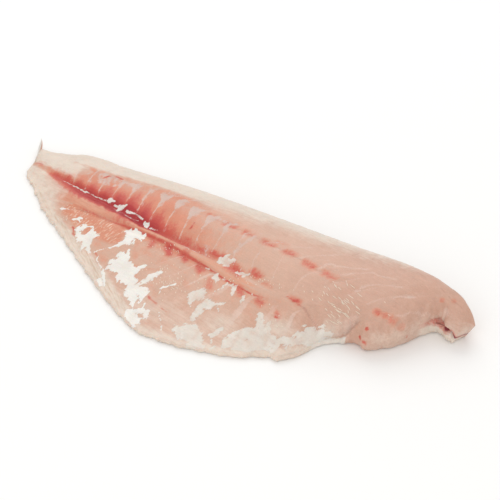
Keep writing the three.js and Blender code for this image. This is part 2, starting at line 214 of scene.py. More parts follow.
# %% [markdown]
# ## Relief of the bone side
#
# The knife leaves a low ridge along the middle, with the blood line in a groove above it
# and a fine furrow below it. Each flake is a shallow pillow. The belly flap passes under
# the thick collar part, and under the nape lobe there is a deep cleft. These are forms, so
# they are in the mesh and not only in a bump.

# %% Relief functions
ridge_height = straight([(-104, 0), (-92, 0.5), (-60, 0.9), (10, 1), (30, 0.6), (46, 0)])
ridge_half = straight([(-100, 3.2), (-60, 2.2), (-40, 1.7), (-10, 2), (10, 2.8), (40, 2.4)])
groove_depth = straight([
    (-131, 0), (-118, 0.9), (-100, 1.7), (-75, 2.1), (-50, 1.9), (-36, 1.2), (-15, 0.8), (36, 0)])
belly_groove_depth = straight([(-96, 0), (-80, 0.5), (-40, 0.8), (0, 0.7), (34, 0)])
bends_depth = straight([(-110, 0), (-90, 0.35), (-40, 0.5), (20, 0.45), (70, 0.3), (85, 0)])
flake_lift = straight([(-125, 0), (-100, 0.35), (-60, 0.6), (-10, 0.5), (110, 0.3), (125, 0)])
crease_line = straight([
    (58, -10.5), (62, -11.6), (66, -13.8), (70, -13.8), (75, -11), (80, -9.6), (85, -8)])
crease_height = straight([(58, 15.5), (62, 12.5), (66, 9), (70, 6), (76, 3.6), (82, 3)])
CREASE_ROUNDING = 6
slit_height = straight([
    (108, 9.6), (113, 9.4), (117, 8.5), (122.5, 7.9), (125.2, 6.8), (127.4, 4.4), (129.5, 2.6),
    (133.5, 1.8)])
slit_depth = straight([
    (109, 0), (114, 1.6), (119, 3.2), (123, 3.6), (126.5, 3), (129.5, 1.4), (131.5, 0)])
SLIT_HALF = 1.05
SLIT_FROM_X = 106  # the slit of the cleft runs from here to the head end
GROOVE_WIDE, FURROW_WIDE, BENDS_WIDE = 2.3, 1.1, 1.8


def relief(x, y):
    """The height that the ridge, the grooves and the flakes add to the bone side."""
    side = y - midline(x)
    half = ridge_half(x)
    z = ridge_height(x) * np.exp(-((side / half) ** 4))
    z = z - groove_depth(x) * bell(y, blood_line(x), GROOVE_WIDE)
    z = z - belly_groove_depth(x) * bell(side, -1.5 * half - 0.4, FURROW_WIDE)
    z = z - bends_depth(x) * bell(y, bends_line(x), BENDS_WIDE)
    pillow = np.abs(np.sin(math.pi * flake_phase(x, y))) ** 0.7 - 0.6
    share = np.where(side > 0, ease(3, 7, side), 0.55 * ease(3, 7, -side))
    past_bends = 1 - ease(1, 7, y - bends_line(x))
    return z + flake_lift(x) * share * past_bends * pillow


def ragged(x, shift):
    """An uneven cut edge: waves whose lengths share no common step."""
    return (0.5 * np.sin(0.63 * x + 1.7 * shift) + 0.35 * np.sin(1.17 * x + 3.57 * shift)
            + 0.3 * np.sin(1.93 * x + 6.29 * shift))


def fine_ragged(x, shift):
    """Torn threads along the belly edge, finer than the CAD model can hold."""
    return np.sin(3.7 * x + shift) * np.sin(0.41 * x + 2 * shift) * np.sin(1.13 * x + 5 * shift)


def tucked(x):
    """1 where the belly flap goes under the collar part."""
    return between(x, 56, 64, 82, 88)


def under_collar(x, y, z, belly, rim):
    """Lowers the belly flap to where it goes under the collar part."""
    fold = crease_line(x)
    across = np.clip((y - belly) / np.maximum(fold - belly, 1), 0, 1)
    flap = np.minimum(rim + np.maximum(crease_height(x) - rim, 0) * across ** 1.3, z)
    thick = np.sin(np.clip((y - fold) / CREASE_ROUNDING, 0, 1) * math.pi / 2)
    return z + (flap - z) * (1 - thick) * tucked(x)


# %% [markdown]
# ## The surface
#
# The body is a loft: one closed loop for each cross-section, from tail to head. A
# subdivided CAD mesh would keep its facets, so the loops are worked out again from the
# same curves, 0.7 mm apart. Every point also keeps which stretch of the loop it is on,
# because the underside, the rim and the top are finished differently.

# %% Cross-sections
STATIONS = 380
STRETCHES = {"under_rim": 10, "rim": 14, "belly": 96, "loin": 48, "back": 40,
             "back_under": 12, "underside": 20}
LOOP = sum(STRETCHES.values())
RIM_POINTS = STRETCHES["under_rim"] + STRETCHES["rim"] + 6  # of a loop, from its start
LOWEST_TOP = 1.4  # relief never cuts the top lower than this
UNDERCUT_UP_TO = 9  # the height where the undercut of the nape ends


def cross_sections(x):
    """Rows of loops, as x, y, z in mm, with how much of the top's relief each point takes."""
    x = x[:, None]
    rough = ((0.55 + 0.35 * ease(-60, -110, x)) * ease(HEAD_X, HEAD_X - 8, x)
             * ease(TAIL_X - 1, TAIL_X + 3, x))
    # The corner of the flap stands out, with a nick beside it.
    belly = (belly_edge(x) - ragged(x, 1) * rough - 1.8 * bell(x, 55.6, 2) + 1.1 * bell(x, 51.6, 1.4)
             + 0.3 * fine_ragged(x, 1) * rough)
    back = back_edge(x) + 0.25 * ragged(x, 2) * rough
    width = back - belly
    middle = np.clip(midline(x), belly + 0.12 * width, back - 0.2 * width)
    crest = middle + 0.5 * (back - middle)
    mid_z = midline_height(x)
    crest_z = np.maximum(crest_height(x), mid_z)
    rim_z = rim_height(x)
    rim_widest = 0.45 * rim_z
    rim_round = np.minimum(rim_rounding(x), 0.25 * width)
    under_round = np.minimum(0.7 * rim_round, 0.2 * width)
    back_z = back_widest_height(x)
    back_round = np.minimum(BACK_ROUNDING, 0.25 * width)
    parts = {}

    def steps(name):
        return np.arange(STRETCHES[name])[None, :] / STRETCHES[name]

    a = steps("under_rim") * math.pi / 2
    parts["under_rim"] = belly + under_round * (1 - np.sin(a)), rim_widest * (1 - np.cos(a)), 0 * a
    domes = ease(55, 85, x)
    slope = (0.35 + 0.99 * domes) * (mid_z - collar_height(x)) / (middle - belly - rim_round)
    slope = slope * (1 - tucked(x)) * rim_round
    a = steps("rim") * math.pi / 2
    parts["rim"] = (belly + rim_round * (1 - np.cos(a)),
                    rim_widest + (rim_z - rim_widest - slope) * np.sin(a) + slope * (1 - np.cos(a)),
                    0 * a)
    t = steps("belly")
    y = belly + rim_round + (middle - belly - rim_round) * t
    hollow = 0.39 * t * t * (3 - 2 * t) + 0.35 * t + 0.26 * t ** 1.6
    domed = 0.6 * np.sin(t * math.pi / 2) + 0.4 * t
    rise = hollow + (domed - hollow) * domes
    z = collar_height(x) + (mid_z - collar_height(x)) * rise
    parts["belly"] = y, under_collar(x, y, z, belly, rim_z), ease(0, 0.1, t)
    t = steps("loin")
    parts["loin"] = (middle + (crest - middle) * t,
                     mid_z + (crest_z - mid_z) * np.sin(t * math.pi / 2), 1 + 0 * t)
    a = steps("back") * math.pi / 2
    parts["back"] = (crest + (back - crest) * np.sin(a), back_z + (crest_z - back_z) * np.cos(a),
                     np.sqrt(np.cos(a)) * (1 - ease(0.75, 1, np.sin(a))))
    a = steps("back_under") * math.pi / 2
    parts["back_under"] = back - back_round * (1 - np.cos(a)), back_z * (1 - np.sin(a)), 0 * a
    t = steps("underside")
    parts["underside"] = back - back_round + (belly + under_round - back + back_round) * t, 0 * t, 0 * t

    shape = (len(x), LOOP)
    y, z, share = [np.concatenate([np.broadcast_to(parts[n][k], (len(x), STRETCHES[n]))
                                   for n in STRETCHES], axis=1) for k in range(3)]
    x = np.broadcast_to(x, shape)
    ends = between(x, TAIL_X + 2, TAIL_X + 14, HEAD_X - 8, HEAD_X - 1)
    raised = np.maximum(z + relief(x, y) * share * ends, np.minimum(z, LOWEST_TOP))
    z = np.where(share > 0, raised, z)
    wall = np.arange(LOOP) < RIM_POINTS
    shaded_cleft = slit_depth(x) * np.exp(-(np.abs((z - slit_height(x)) / SLIT_HALF) ** 2.2))
    y = y + shaded_cleft * wall * (x > SLIT_FROM_X)
    x = x + tail_cut(y) * (1 - ease(TAIL_X, TAIL_X + 16, x))
    x = x - NAPE_UNDERCUT * np.clip(1 - z / UNDERCUT_UP_TO, 0, 1) * ease(HEAD_X - 13, HEAD_X, x)
    return x, y, z, np.broadcast_to(share, shape)


t = np.linspace(0, 1, STATIONS)
stations = TAIL_X + (HEAD_X - TAIL_X) * (t - 0.5 * np.sin(2 * math.pi * t) / (2 * math.pi))
X, Y, Z, SHARE = cross_sections(stations)
print("surface points:", X.size)

# %% [markdown]
# ## Where the colours are
#
# The fillet is read as a map in millimetres. Red muscle and blood lie along the backbone
# and in a row of spots where the flake walls bend. The back, the tail and the belly margin
# are beige. Scraps of the white lining of the belly, the silverskin, cling to the flesh, and
# the same white paints highlights of the wet surface. A few places are painted lighter or
# darker, as painted light and shade.
# Each is a field on the surface's points: some are strengths from 0 to 1, and others say
# how far inside a shape a point is, in millimetres. The material sharpens them with noise.

# %% Noise and strokes
LUMP_GRID = 64
OUTSIDE = -9.0  # far outside every stroke, mm


def lumps(x, y, size, seed):
    """Smooth noise between -1 and 1, with lumps about size mm across."""
    grid = np.random.default_rng(seed).uniform(-1, 1, (LUMP_GRID, LUMP_GRID))
    i, j = np.floor(x / size).astype(int), np.floor(y / size).astype(int)
    a, b = ease(0, 1, x / size - i), ease(0, 1, y / size - j)
    here, right, up = i % LUMP_GRID, (i + 1) % LUMP_GRID, (j + 1) % LUMP_GRID
    low = grid[here, j % LUMP_GRID] * (1 - a) + grid[right, j % LUMP_GRID] * a
    high = grid[here, up] * (1 - a) + grid[right, up] * a
    return low * (1 - b) + high * b


def strokes(x, y, rows):
    """How far inside the nearest stroke each point is, and that stroke's radius, in mm.

    A row is x1, y1, x2, y2 and the radius at each end."""
    inside, radius = np.full(x.shape, OUTSIDE), np.ones(x.shape)
    for x1, y1, x2, y2, r1, r2 in rows:
        dx, dy = x2 - x1, y2 - y1
        t = np.clip(((x - x1) * dx + (y - y1) * dy) / (dx * dx + dy * dy + 1e-9), 0, 1)
        here = r1 + (r2 - r1) * t
        depth = here - np.hypot(x - x1 - t * dx, y - y1 - t * dy)
        radius = np.where(depth > inside, here, radius)
        inside = np.maximum(inside, depth)
    return inside, radius


torn_x = X + 0.7 * lumps(X, Y, 4.3, 11) + 0.5 * lumps(X, Y, 1.9, 12)
torn_y = Y + 0.7 * lumps(X, Y, 4.9, 13) + 0.5 * lumps(X, Y, 1.9, 14)
print("torn edges move up to, mm:", round(float(np.abs(torn_x - X).max()), 2))

# %% Silverskin and painted highlights
# White strokes, by where they lie: scraps of silverskin, and painted highlights and glints of the wet
# surface.
SILVERSKIN_AND_HIGHLIGHTS = {
    "blood line": [
        (-73.9, 22.6, -75.1, 23, 1, 0.8), (-73.9, 22.8, -71.6, 22.1, 0.8, 0.3),
        (-66.6, 20.1, -63.5, 21.4, 1.3, 1.1), (-66.6, 18.9, -65.8, 16.9, 0.7, 0.3),
        (-60.8, 18.7, -55.8, 18.2, 0.6, 0.5), (-47.6, 14.4, -44.4, 12.8, 0.8, 0.7),
        (-45.2, 14.2, -45.8, 16, 0.4, 0.2)],
    "tail end of the belly": [
        (-97.5, 10.8, -92.8, 11.3, 0.6, 0.3), (-86.3, 5.1, -82.4, 7.1, 0.9, 0.9),
        (-83.2, 5.7, -81.6, 4.6, 0.7, 0.3), (-80.5, -0.2, -77.4, 2.8, 1.3, 1),
        (-77.4, 2.8, -73.1, 3.8, 0.8, 0.4), (-78.9, -1.4, -75.8, -4.4, 1.2, 1.4),
        (-75.1, -4.3, -70.4, -6.4, 2, 2), (-72.7, -3.7, -72.7, 2.7, 1.1, 0.4),
        (-71.2, -3.5, -66.2, -0.1, 1.3, 0.4), (-70.4, -7.4, -64.6, -11.7, 1.7, 0.5),
        (-71.6, -8.2, -70, -12.1, 0.9, 0.4), (-70.6, -1.2, -70.8, -7, 2.4, 2.6),
        (-72.4, 2.6, -71.4, -1, 1.2, 1.6), (-77.8, -3.5, -74.5, -6, 1.4, 1.8),
        (-67.6, -10, -65.4, -12.6, 1, 0.4),
        (-80.4, 1.2, -77.6, 2.2, 1.2, 1.4), (-63, -10.6, -57, -6.4, 0.5, 0.3)],
    "under the ridge": [
        (-50, 6.2, -44.2, 4.7, 2.5, 2.7), (-50.4, 5, -45, 4.4, 2.8, 3),
        (-50, 2, -48.6, -1, 2.4, 1.8), (-44.9, 5.6, -42.6, 5.7, 1.3, 0.9),
        (-48.4, 3.2, -50.7, -1.4, 2.3, 1.8), (-50.7, -1.4, -56.1, -6.3, 1.8, 0.6),
        (-43.8, 2.5, -42.6, 1.5, 0.9, 0.4), (-46.1, 1.2, -45.3, -1.7, 0.9, 0.3),
        (5.6, -6.6, 8.3, -7.9, 1.6, 1.3), (8, -7.8, 9.1, -10.3, 1, 0.3),
        (14.1, -9, 13.4, -13.1, 1, 0.7), (11, -15.7, 11, -18, 0.5, 0.4),
        (15.7, -9.9, 19.9, -8.6, 0.4, 0.5), (18, -9, 20.3, -14.7, 1.3, 1),
        (26.1, -14.1, 27.3, -16.7, 0.9, 0.7), (-1.7, -3.4, 0.6, -3.9, 0.4, 0.35),
        (2.2, -4.3, 2.9, -4.5, 0.4, 0.3), (10.7, -6.9, 12.6, -7.2, 0.4, 0.35),
        (29.6, -10.9, 30, -11.5, 0.5, 0.4), (12.5, -12, 11.2, -15, 0.7, 0.6)],
    "belly wall": [
        (-45.4, -5, -44.6, -10, 0.8, 2.4), (-48.4, -9.4, -45, -10, 1.7, 2),
        (-49.4, -14, -44, -14, 2.2, 3.4),
        (-49.4, -17.6, -44, -18, 1.8, 2.4), (-42, -16.4, -36, -16, 2.4, 2.2), (-42, -22, -40, -26, 1.4, 0.4),
        (-28.4, -24, -26.4, -32, 1.5, 1.8), (-23.6, -28, -22, -33, 1.5, 0.7),
        (-50.6, -19, -51.4, -22, 0.6, 0.3),
        (-47.6, -16.8, -41.5, -14.2, 2.7, 3.2), (-41.5, -19.1, -35.7, -22.3, 3.2, 3.3),
        (-36.4, -17.4, -31.8, -11.7, 2.3, 0.6), (-34.9, -21.9, -29.5, -29.2, 2.6, 3),
        (-28.3, -26.5, -22.9, -28, 3, 2.1), (-26.4, -32.2, -23.7, -37.5, 2.5, 0.7),
        (-27.2, -22.2, -24.5, -18.4, 1.7, 1.4), (-24.9, -17.4, -21.8, -13.5, 1.3, 0.9),
        (-22.9, -15.6, -21.8, -16.8, 0.7, 0.4), (-50.6, -22, -45.3, -30, 0.7, 0.9),
        (-50, -27, -47.6, -29.6, 1, 1.2),
        (-59.2, -13.2, -52.7, -20.4, 0.35, 0.45), (-22.2, -42.3, -17.9, -44.5, 3, 2.7),
        (-24.9, -41.1, -18.3, -38.4, 1.3, 1.7), (-14.4, -40.7, -14.8, -37.1, 1.8, 1.1),
        (-18.7, -32.3, -17.9, -37.7, 0.5, 0.8), (-18.3, -46, -16.4, -48.7, 1.9, 0.8),
        (-10.6, -35.2, -2.5, -45.3, 0.35, 0.45), (-16, -25.6, -15.6, -21.5, 0.4, 0.6),
        (-15.2, -21.6, -9.8, -17.5, 0.4, 0.5)],
    "mid belly": [
        (1.4, -22.3, 4.5, -18, 3.1, 2.8), (1.8, -25.5, 3.3, -27.2, 1, 0.4),
        (6.4, -28.2, 7.6, -28.2, 0.4, 0.4), (8.3, -26.7, 11, -21.6, 2.6, 2.8),
        (8.3, -33.5, 8.7, -27.5, 1.6, 2.7), (12.6, -23.9, 15.3, -21.8, 2.3, 1.2),
        (15.3, -21.8, 18.8, -19.2, 1, 0.5), (16.5, -22.5, 18.4, -24.6, 0.8, 0.4),
        (4.5, -41.2, 11.8, -38.4, 2.4, 3.3), (8.3, -44.1, 14.9, -42.3, 3.1, 3.8),
        (13.4, -46.9, 20.7, -45.1, 2.4, 1.5), (5.3, -37.4, 6.8, -36.6, 0.8, 0.6),
        (11.4, -37.8, 14.1, -38.1, 1.5, 0.9), (20.7, -37.8, 24.2, -33.5, 1.2, 1.3),
        (22.2, -39.5, 23.8, -41.8, 0.6, 0.4), (24.2, -44.9, 25.7, -42.1, 0.8, 0.5)],
    "flap": [
        (29.6, -38.9, 33.8, -33.5, 2.1, 3), (33.4, -37.5, 41.9, -34.8, 3.1, 3.1),
        (34.2, -32.3, 37.7, -27.3, 2.3, 1), (37.3, -31.2, 44.3, -27.3, 3.1, 3.7),
        (39.6, -20.3, 42.3, -25.2, 1.4, 2.3), (45, -20.5, 45, -24.9, 0.9, 1.6),
        (45.4, -30, 52.4, -27.6, 3.6, 2.6), (52.8, -27.5, 58.5, -25.2, 2, 1.4),
        (57, -27.9, 58.5, -29.8, 1.2, 0.4), (44.3, -34.9, 52.8, -31.9, 1.4, 1.2),
        (60.5, -26.2, 63.9, -20.2, 0.6, 0.5), (60.5, -24.4, 62.8, -20.7, 0.5, 0.5),
        (63.9, -17.3, 71.7, -13.5, 2.3, 2), (70.1, -15.3, 75.5, -11.8, 2, 1.5),
        (75.5, -11.4, 79.6, -9.2, 1.4, 0.6), (59, -25, 66, -17.5, 2, 2), (64, -21.6, 70, -15.4, 1.4, 1.2),
        (70, -13.4, 79, -8.6, 1.6, 1), (66, -15.6, 74, -11.6, 1.8, 1.6)],
    "loin": [
        (3.7, 2.8, 11, 3.5, 1.7, 1.5), (4.5, 3.7, 7.2, 6.9, 1.2, 0.5), (7.6, 1.3, 9.5, 1.1, 1.2, 1),
        (11, 3.5, 12.6, 4.3, 0.9, 0.4), (16.1, -2.2, 23, -1.3, 0.9, 0.7),
        (16.1, -1.9, 16.8, 0.2, 0.6, 0.4), (20.3, -2.6, 21.1, -3, 0.9, 0.6)],
}
# Thin white lines along the blood line and the ridge: threads of membrane, and painted glints of the wet
# groove.
STRAIGHT_THREADS_AND_GLINTS = [
    (-108.5, 29.9, -101.3, 28, 0.2, 0.26), (-101.3, 28, -94.4, 26.1, 0.28, 0.3),
    (-94.4, 26.1, -90.9, 25.4, 0.42, 0.45), (-90.9, 25.4, -84.7, 23.9, 0.3, 0.3),
    (-84.7, 23.9, -75.1, 22.3, 0.28, 0.3), (-70.8, 21.1, -67.3, 20.2, 0.4, 0.5),
    (-55, 18, -49.2, 15.5, 0.35, 0.4), (-43, 12.1, -38.4, 11.3, 0.4, 0.25),
    (-61.5, 16.4, -51.5, 15.1, 0.2, 0.2), (-70, 18.9, -57, 15.9, 0.16, 0.16),
    (-20.5, 5.4, -15, 4.7, 0.25, 0.35), (-13.6, 4.2, -8.6, 3.6, 0.3, 0.25), (-7.4, 3.4, -3, 2.6, 0.3, 0.25)]
silverskin_and_highlight, edge_jag = strokes(torn_x, torn_y, sum(SILVERSKIN_AND_HIGHLIGHTS.values(), []))
threads_and_glints, threads_and_glints_radius = strokes(
    X + 0.25 * lumps(X, Y, 2, 15), Y + 0.25 * lumps(X, Y, 2, 16), STRAIGHT_THREADS_AND_GLINTS)
edge_jag = np.clip(np.where(threads_and_glints > silverskin_and_highlight, 0.6 * threads_and_glints_radius, 0.95 * edge_jag), 0.1, 2)
silverskin_and_highlight = np.maximum(silverskin_and_highlight, threads_and_glints)
# How white the silverskin and the painted highlights are: whitest towards the tail.
bright = (0.9 - ease(-14, 6, X)) * (1 + 0.4 * lumps(X, Y, 5, 17)) * np.where(threads_and_glints > 0, 0.4, 1)
bright = bright + 0.4 * ease(-14, 6, X) * ease(0.1, 0.7, lumps(X + 0.5 * Y, 0.4 * Y, 1.7, 18))
less_white = 0.3 * ease(-14, 6, X) * ease(0.1, 0.8, lumps(X, Y, 2.4, 19))
print("share of the points under silverskin:", round(float((silverskin_and_highlight > 0).mean()), 3))

# %% Distances that the colours are laid out by
mid_side = Y - midline(X)
groove_side = Y - blood_line(X)
bend_side = Y - bends_line(X)
place_in_loop = np.broadcast_to(np.arange(LOOP), X.shape)
ridge_low = straight([
    (-96, 15.4), (-90, 14.4), (-82, 12.8), (-73, 11.4), (-64, 10.2), (-57, 9.5), (-49, 8.4), (-41, 7.4),
    (-33, 6), (-25, 4.2), (-18, 2.2), (-10, 0), (-2, -2.2), (5, -4.4), (13, -7), (20.5, -8.6), (30, -11)])
ridge_high = straight([
    (-96, 20.6), (-90, 19.6), (-82, 18), (-73, 15.7), (-64, 13.7), (-57, 12.6), (-49, 10.9), (-41, 9.7),
    (-33, 8.6), (-25, 6.9), (-18, 5.8), (-10, 4.5), (-2, 3.1), (5, 1.2), (13, -1.8), (20.5, -4), (30, -6)])
furrow_side = Y - ridge_low(X) + 0.6
on_ridge = ease(-0.7, 0.3, Y - ridge_low(X)) * ease(-0.7, 0.3, ridge_high(X) - Y)
to_margin = Y - belly_edge(X)
phase = flake_phase(X, Y) + 0.05 * lumps(X, Y, 6, 21) + 0.03 * lumps(X, Y, 2.3, 22)
nearest = np.round(phase)
ahead = (phase - nearest) * flake_pitch(X)
cell = np.floor(phase)
in_cell = phase - cell
cell_tone = np.random.default_rng(23).uniform(-1, 1, LUMP_GRID)[cell.astype(int) % LUMP_GRID]
cloudy = lumps(X, Y, 9, 41) * 0.6 + lumps(X, Y, 3.5, 42) * 0.4
streaky = lumps(X + 0.3 * Y, Y * 0.25, 0.9, 31) * 0.5 + lumps(X, Y, 2.6, 32) * 0.5
print("walls from", int(nearest.min()), "to", int(nearest.max()))


# %% Red muscle and blood along the backbone
def paint(field, rows, strength, soft=0.6):
    """Raises a field to a strength inside some strokes, with torn edges."""
    return np.maximum(field, strength * ease(-soft, soft, strokes(torn_x, torn_y, rows)[0]))


def away_from(x, y, z):
    """How far each point is from one spot, in mm."""
    return np.sqrt((X - x) ** 2 + (Y - y) ** 2 + (Z - z) ** 2)


groove_red = straight([
    (-124, 0), (-119.5, 0.4), (-116, 0.82), (-104, 0.9), (-94, 1.06), (-82, 1.12), (-62, 1.24),
    (-45, 1.2), (-37, 1), (-28, 0.74), (-16, 0.66), (-6, 0.5), (8, 0.25), (28, 0)])
red_above = straight([
    (-122, 1.5), (-112, 2.8), (-102, 4.4), (-90, 5.8), (-78, 8), (-64, 10.2), (-50, 11),
    (-38, 8.8), (-28, 6.4), (-14, 4.4), (10, 3)])
red_below = straight([
    (-122, 1.4), (-117, 2.8), (-110, 4.6), (-98, 6), (-90, 5.2), (-82, 4.8), (-64, 4.8), (-57, 4.2),
    (-49, 2.6), (-41, 1.8), (10, 1.2)])
bulging = red_above(X) * (1 + 0.2 * np.cos(2 * math.pi * (in_cell - 0.5)))
spread = np.where(groove_side > 0, bulging, red_below(X))
spread = spread * (1 + 0.3 * streaky)
steepness = np.where(groove_side > 0, 1.9, 2.2 + 2.8 * ease(-104, -88, X))
blood = groove_red(X) * np.exp(-np.abs(groove_side / spread) ** steepness)
line_red = between(X, -84, -50, 26, 44)
line_wide = straight([(-60, 1), (-14, 0.9), (2, 0.5), (40, 0.45)])
blood = np.maximum(blood, (0.8 + 0.2 * streaky) * bell(furrow_side, 0, line_wide(X)) * line_red)
blood = np.maximum(blood, 0.5 * bell(furrow_side, 0, 1) * between(X, -94, -82, -60, -50))
blood = np.maximum(blood, (0.46 + 0.3 * streaky) * bell(X, -59, 12) * on_ridge)
print("strongest red:", round(float(blood.max()), 2))

# %% Red blocks, spots and strokes
RED_BLOCKS = [  # the flakes that end at the ridge are red there
    (0.66, 2.4, (-37.4, 4.6, -35.6, 2.2, 2.6, 2)), (0.92, 2.4, (-26.8, 3, -23.6, -0.8, 3, 2.2)),
    (0.76, 2.4, (-16, 0.6, -13.6, -2.6, 2.8, 2)), (0.74, 2.2, (-5.2, -3, -2.8, -5.6, 2.4, 2)),
    (0.46, 2.4, (5, -9.4, 6.4, -13.4, 2.2, 2.4)), (0.7, 2.2, (21.4, -10.8, 24.4, -13, 2.2, 1.6)),
    (0.58, 2, (33.4, -13.6, 36.6, -15, 2, 2)), (0.6, 1.8, (-14, 7.4, -6, 6, 1.8, 1.6)),
    (0.74, 1.6, (-21, 7.6, -17.4, 6.6, 1.7, 1.5)), (0.5, 1.6, (-31.5, 10.4, -27.5, 9.4, 1.7, 1.5)),
    (0.56, 1.6, (-12.4, 6.4, -5, 4.8, 1.5, 1.2)), (0.76, 2.2, (-1.6, 5.6, 4.6, 4.6, 1.9, 1.4)),
    (0.8, 2.4, (9.6, 0.6, 17.4, -2.4, 2.2, 1.7)),
    (0.66, 1.4, (10.8, 3.8, 14.4, 0.8, 1.4, 1.2)), (0.42, 1.2, (13.6, -2.8, 17, -4.4, 1.2, 1)),
    (0.7, 1.8, (23.4, 0.2, 28.4, -1.4, 2, 1.8)), (0.36, 1.6, (33, -4.4, 37, -5.8, 1.4, 1.2)),
    (0.36, 1.6, (26, 22.4, 31, 21.8, 1.4, 1.2))]
for strength, soft, row in RED_BLOCKS:
    blood = paint(blood, [row], strength + 0.14 * cloudy + 0.1 * streaky, 1.25 * soft)
BEND_AHEAD = 1.2
FIRST_SPOT, LAST_SPOT = 8, 14  # the walls that have a red spot where they bend


def bend_of(number):
    """Where a wall bends, in mm: a little nearer the head than it stands on the midline."""
    x = wall_x(number) + BEND_AHEAD
    return x, float(bends_line(x))


for number in range(FIRST_SPOT, LAST_SPOT + 1):
    x, y = bend_of(number)
    uneven = 0.54 + 0.2 * cloudy + 0.1 * streaky
    blood = paint(blood, [(x - 4, y + 1.5, x + 1, y + 0.5, 2.2, 1.9)], uneven, 2.6)
    blood = paint(blood, [(x - 1, y + 0.8, x + 2.2, y - 0.1, 0.6, 0.4)], 0.74, 0.9)
RED_STROKES = [
    (0.85, 0.5, [(50, -8.4, 53, -9, 0.5, 0.9), (54, -9.6, 55.6, -10.4, 0.3, 0.2),
                 (47, -8, 50, -8.6, 0.3, 0.3)]),
    (0.45, 1.3, [(49.4, -7.6, 54, -8.6, 1.6, 1.6), (46.4, -16.8, 48.4, -18.4, 1.2, 1.2)]),
    (0.5, 0.6, [(-20, 29.4, -15, 27.4, 0.4, 0.5), (-62, 13.2, -50, 11.2, 0.7, 0.7)]),
    (0.7, 0.5, [(46.6, -18, 47.6, -18.4, 0.6, 0.4), (60.5, 10.4, 61.4, 10.2, 0.4, 0.3)]),
    (1.0, 0.5, [(-21.4, 16.2, -20.6, 19.6, 0.5, 0.3)]),
    (0.55, 0.5, [(-20, -28.6, -13.6, -31.6, 0.5, 0.5), (-10, -32.6, -5.6, -34, 0.3, 0.3)]),
    (0.7, 0.6, [(-83.8, 0.4, -79.4, -4.4, 0.6, 0.5), (-62, -11, -60, -12.6, 0.3, 0.3)]),
    (0.5, 0.7, [(-132.6, 39, -127.4, 37.6, 0.8, 0.7)]),
    (0.34, 0.9, [(-119, 34.6, -114, 32.8, 1.2, 1.4), (-30, 3, -30, 0, 0.3, 0.3)])]
for strength, soft, rows in RED_STROKES:
    blood = paint(blood, rows, strength, soft)
HEAD_SPOTS = [  # x, y, z, radius and strength, on the thick wall of the head end
    (90.5, -7.6, 14.2, 0.8, 0.85), (87.7, -8.9, 8.5, 1.1, 0.95), (90.5, -10, 7.6, 1.2, 0.7),
    (91.2, -10.1, 6, 0.9, 0.6), (106.4, 4.9, 6, 0.8, 0.85), (91.4, 1.2, 18.4, 2.2, 0.4),
    (92.4, 0.6, 18, 0.7, 0.66), (95.6, 1.4, 18.2, 2.2, 0.34), (96.4, 2, 18.4, 0.5, 0.56),
    (100, 1.6, 16.6, 2.8, 0.3), (104, 2.4, 13.2, 2.2, 0.28),
    (115.7, 23.7, 19, 1.5, 0.34), (121, 26, 18.6, 1.4, 0.3)]
for x, y, z, radius, strength in HEAD_SPOTS:
    away = away_from(x, y, z) + 0.3 * lumps(X, Z, 1.6, 61)
    blood = np.maximum(blood, strength * ease(1.6 * radius, 0.4 * radius, away))
print("red blocks and strokes:", len(RED_BLOCKS) + sum(len(rows) for _, _, rows in RED_STROKES))

# %% Orange loin
orange_along = straight([
    (-106, 0), (-99, 0.9), (-92, 1), (-60, 1), (-36, 1), (-22, 0.84), (-8, 0.5), (12, 0.24), (34, 0.08),
    (50, 0)])
orange_until = straight([(-104, 37), (-99, 37), (-92, 43), (-40, 39), (-20, 35), (10, 28), (30, 20)])
orange = (orange_along(X) * (1 + 0.16 * cell_tone) * ease(-2, 3, groove_side)
          * ease(1.5, -2.5, Y - orange_until(X) + 0.8 * cloudy))
orange = orange * (1 - 0.35 * ease(-12, -3, bend_side) * (X < 0))
halo = np.exp(-((groove_side / (1.8 * spread + 1.5)) ** 2)) * between(X, -128, -116, -96, -84)
orange = np.maximum(orange, (0.85 + 0.2 * streaky) * halo)
orange = np.maximum(orange, orange_along(X + 4) * 0.72 * on_ridge)
edge_of_back = straight([
    (-108, 44), (-92, 42.4), (-70, 41.2), (-50, 39.6), (-32, 36.5), (-14, 31.5), (10, 26)])
border = bell(Y, edge_of_back(X) + 0.8 * cloudy, 1.5) * between(X, -112, -98, -24, 4)
orange = np.maximum(orange, (0.46 + 0.4 * streaky) * border)
fan_from = straight([(-100, 10), (-82, 0), (-64, -5), (-50, -4)])(X)
fan = between(X, -99, -94, -56, -49) * ease(0.4, -0.8, furrow_side)
fan = fan * ease(fan_from - 2, fan_from + 3, Y + cloudy)
orange = np.maximum(orange, (0.82 + 0.2 * streaky) * fan)
print("orange share:", round(float((orange > 0.5).mean()), 2))

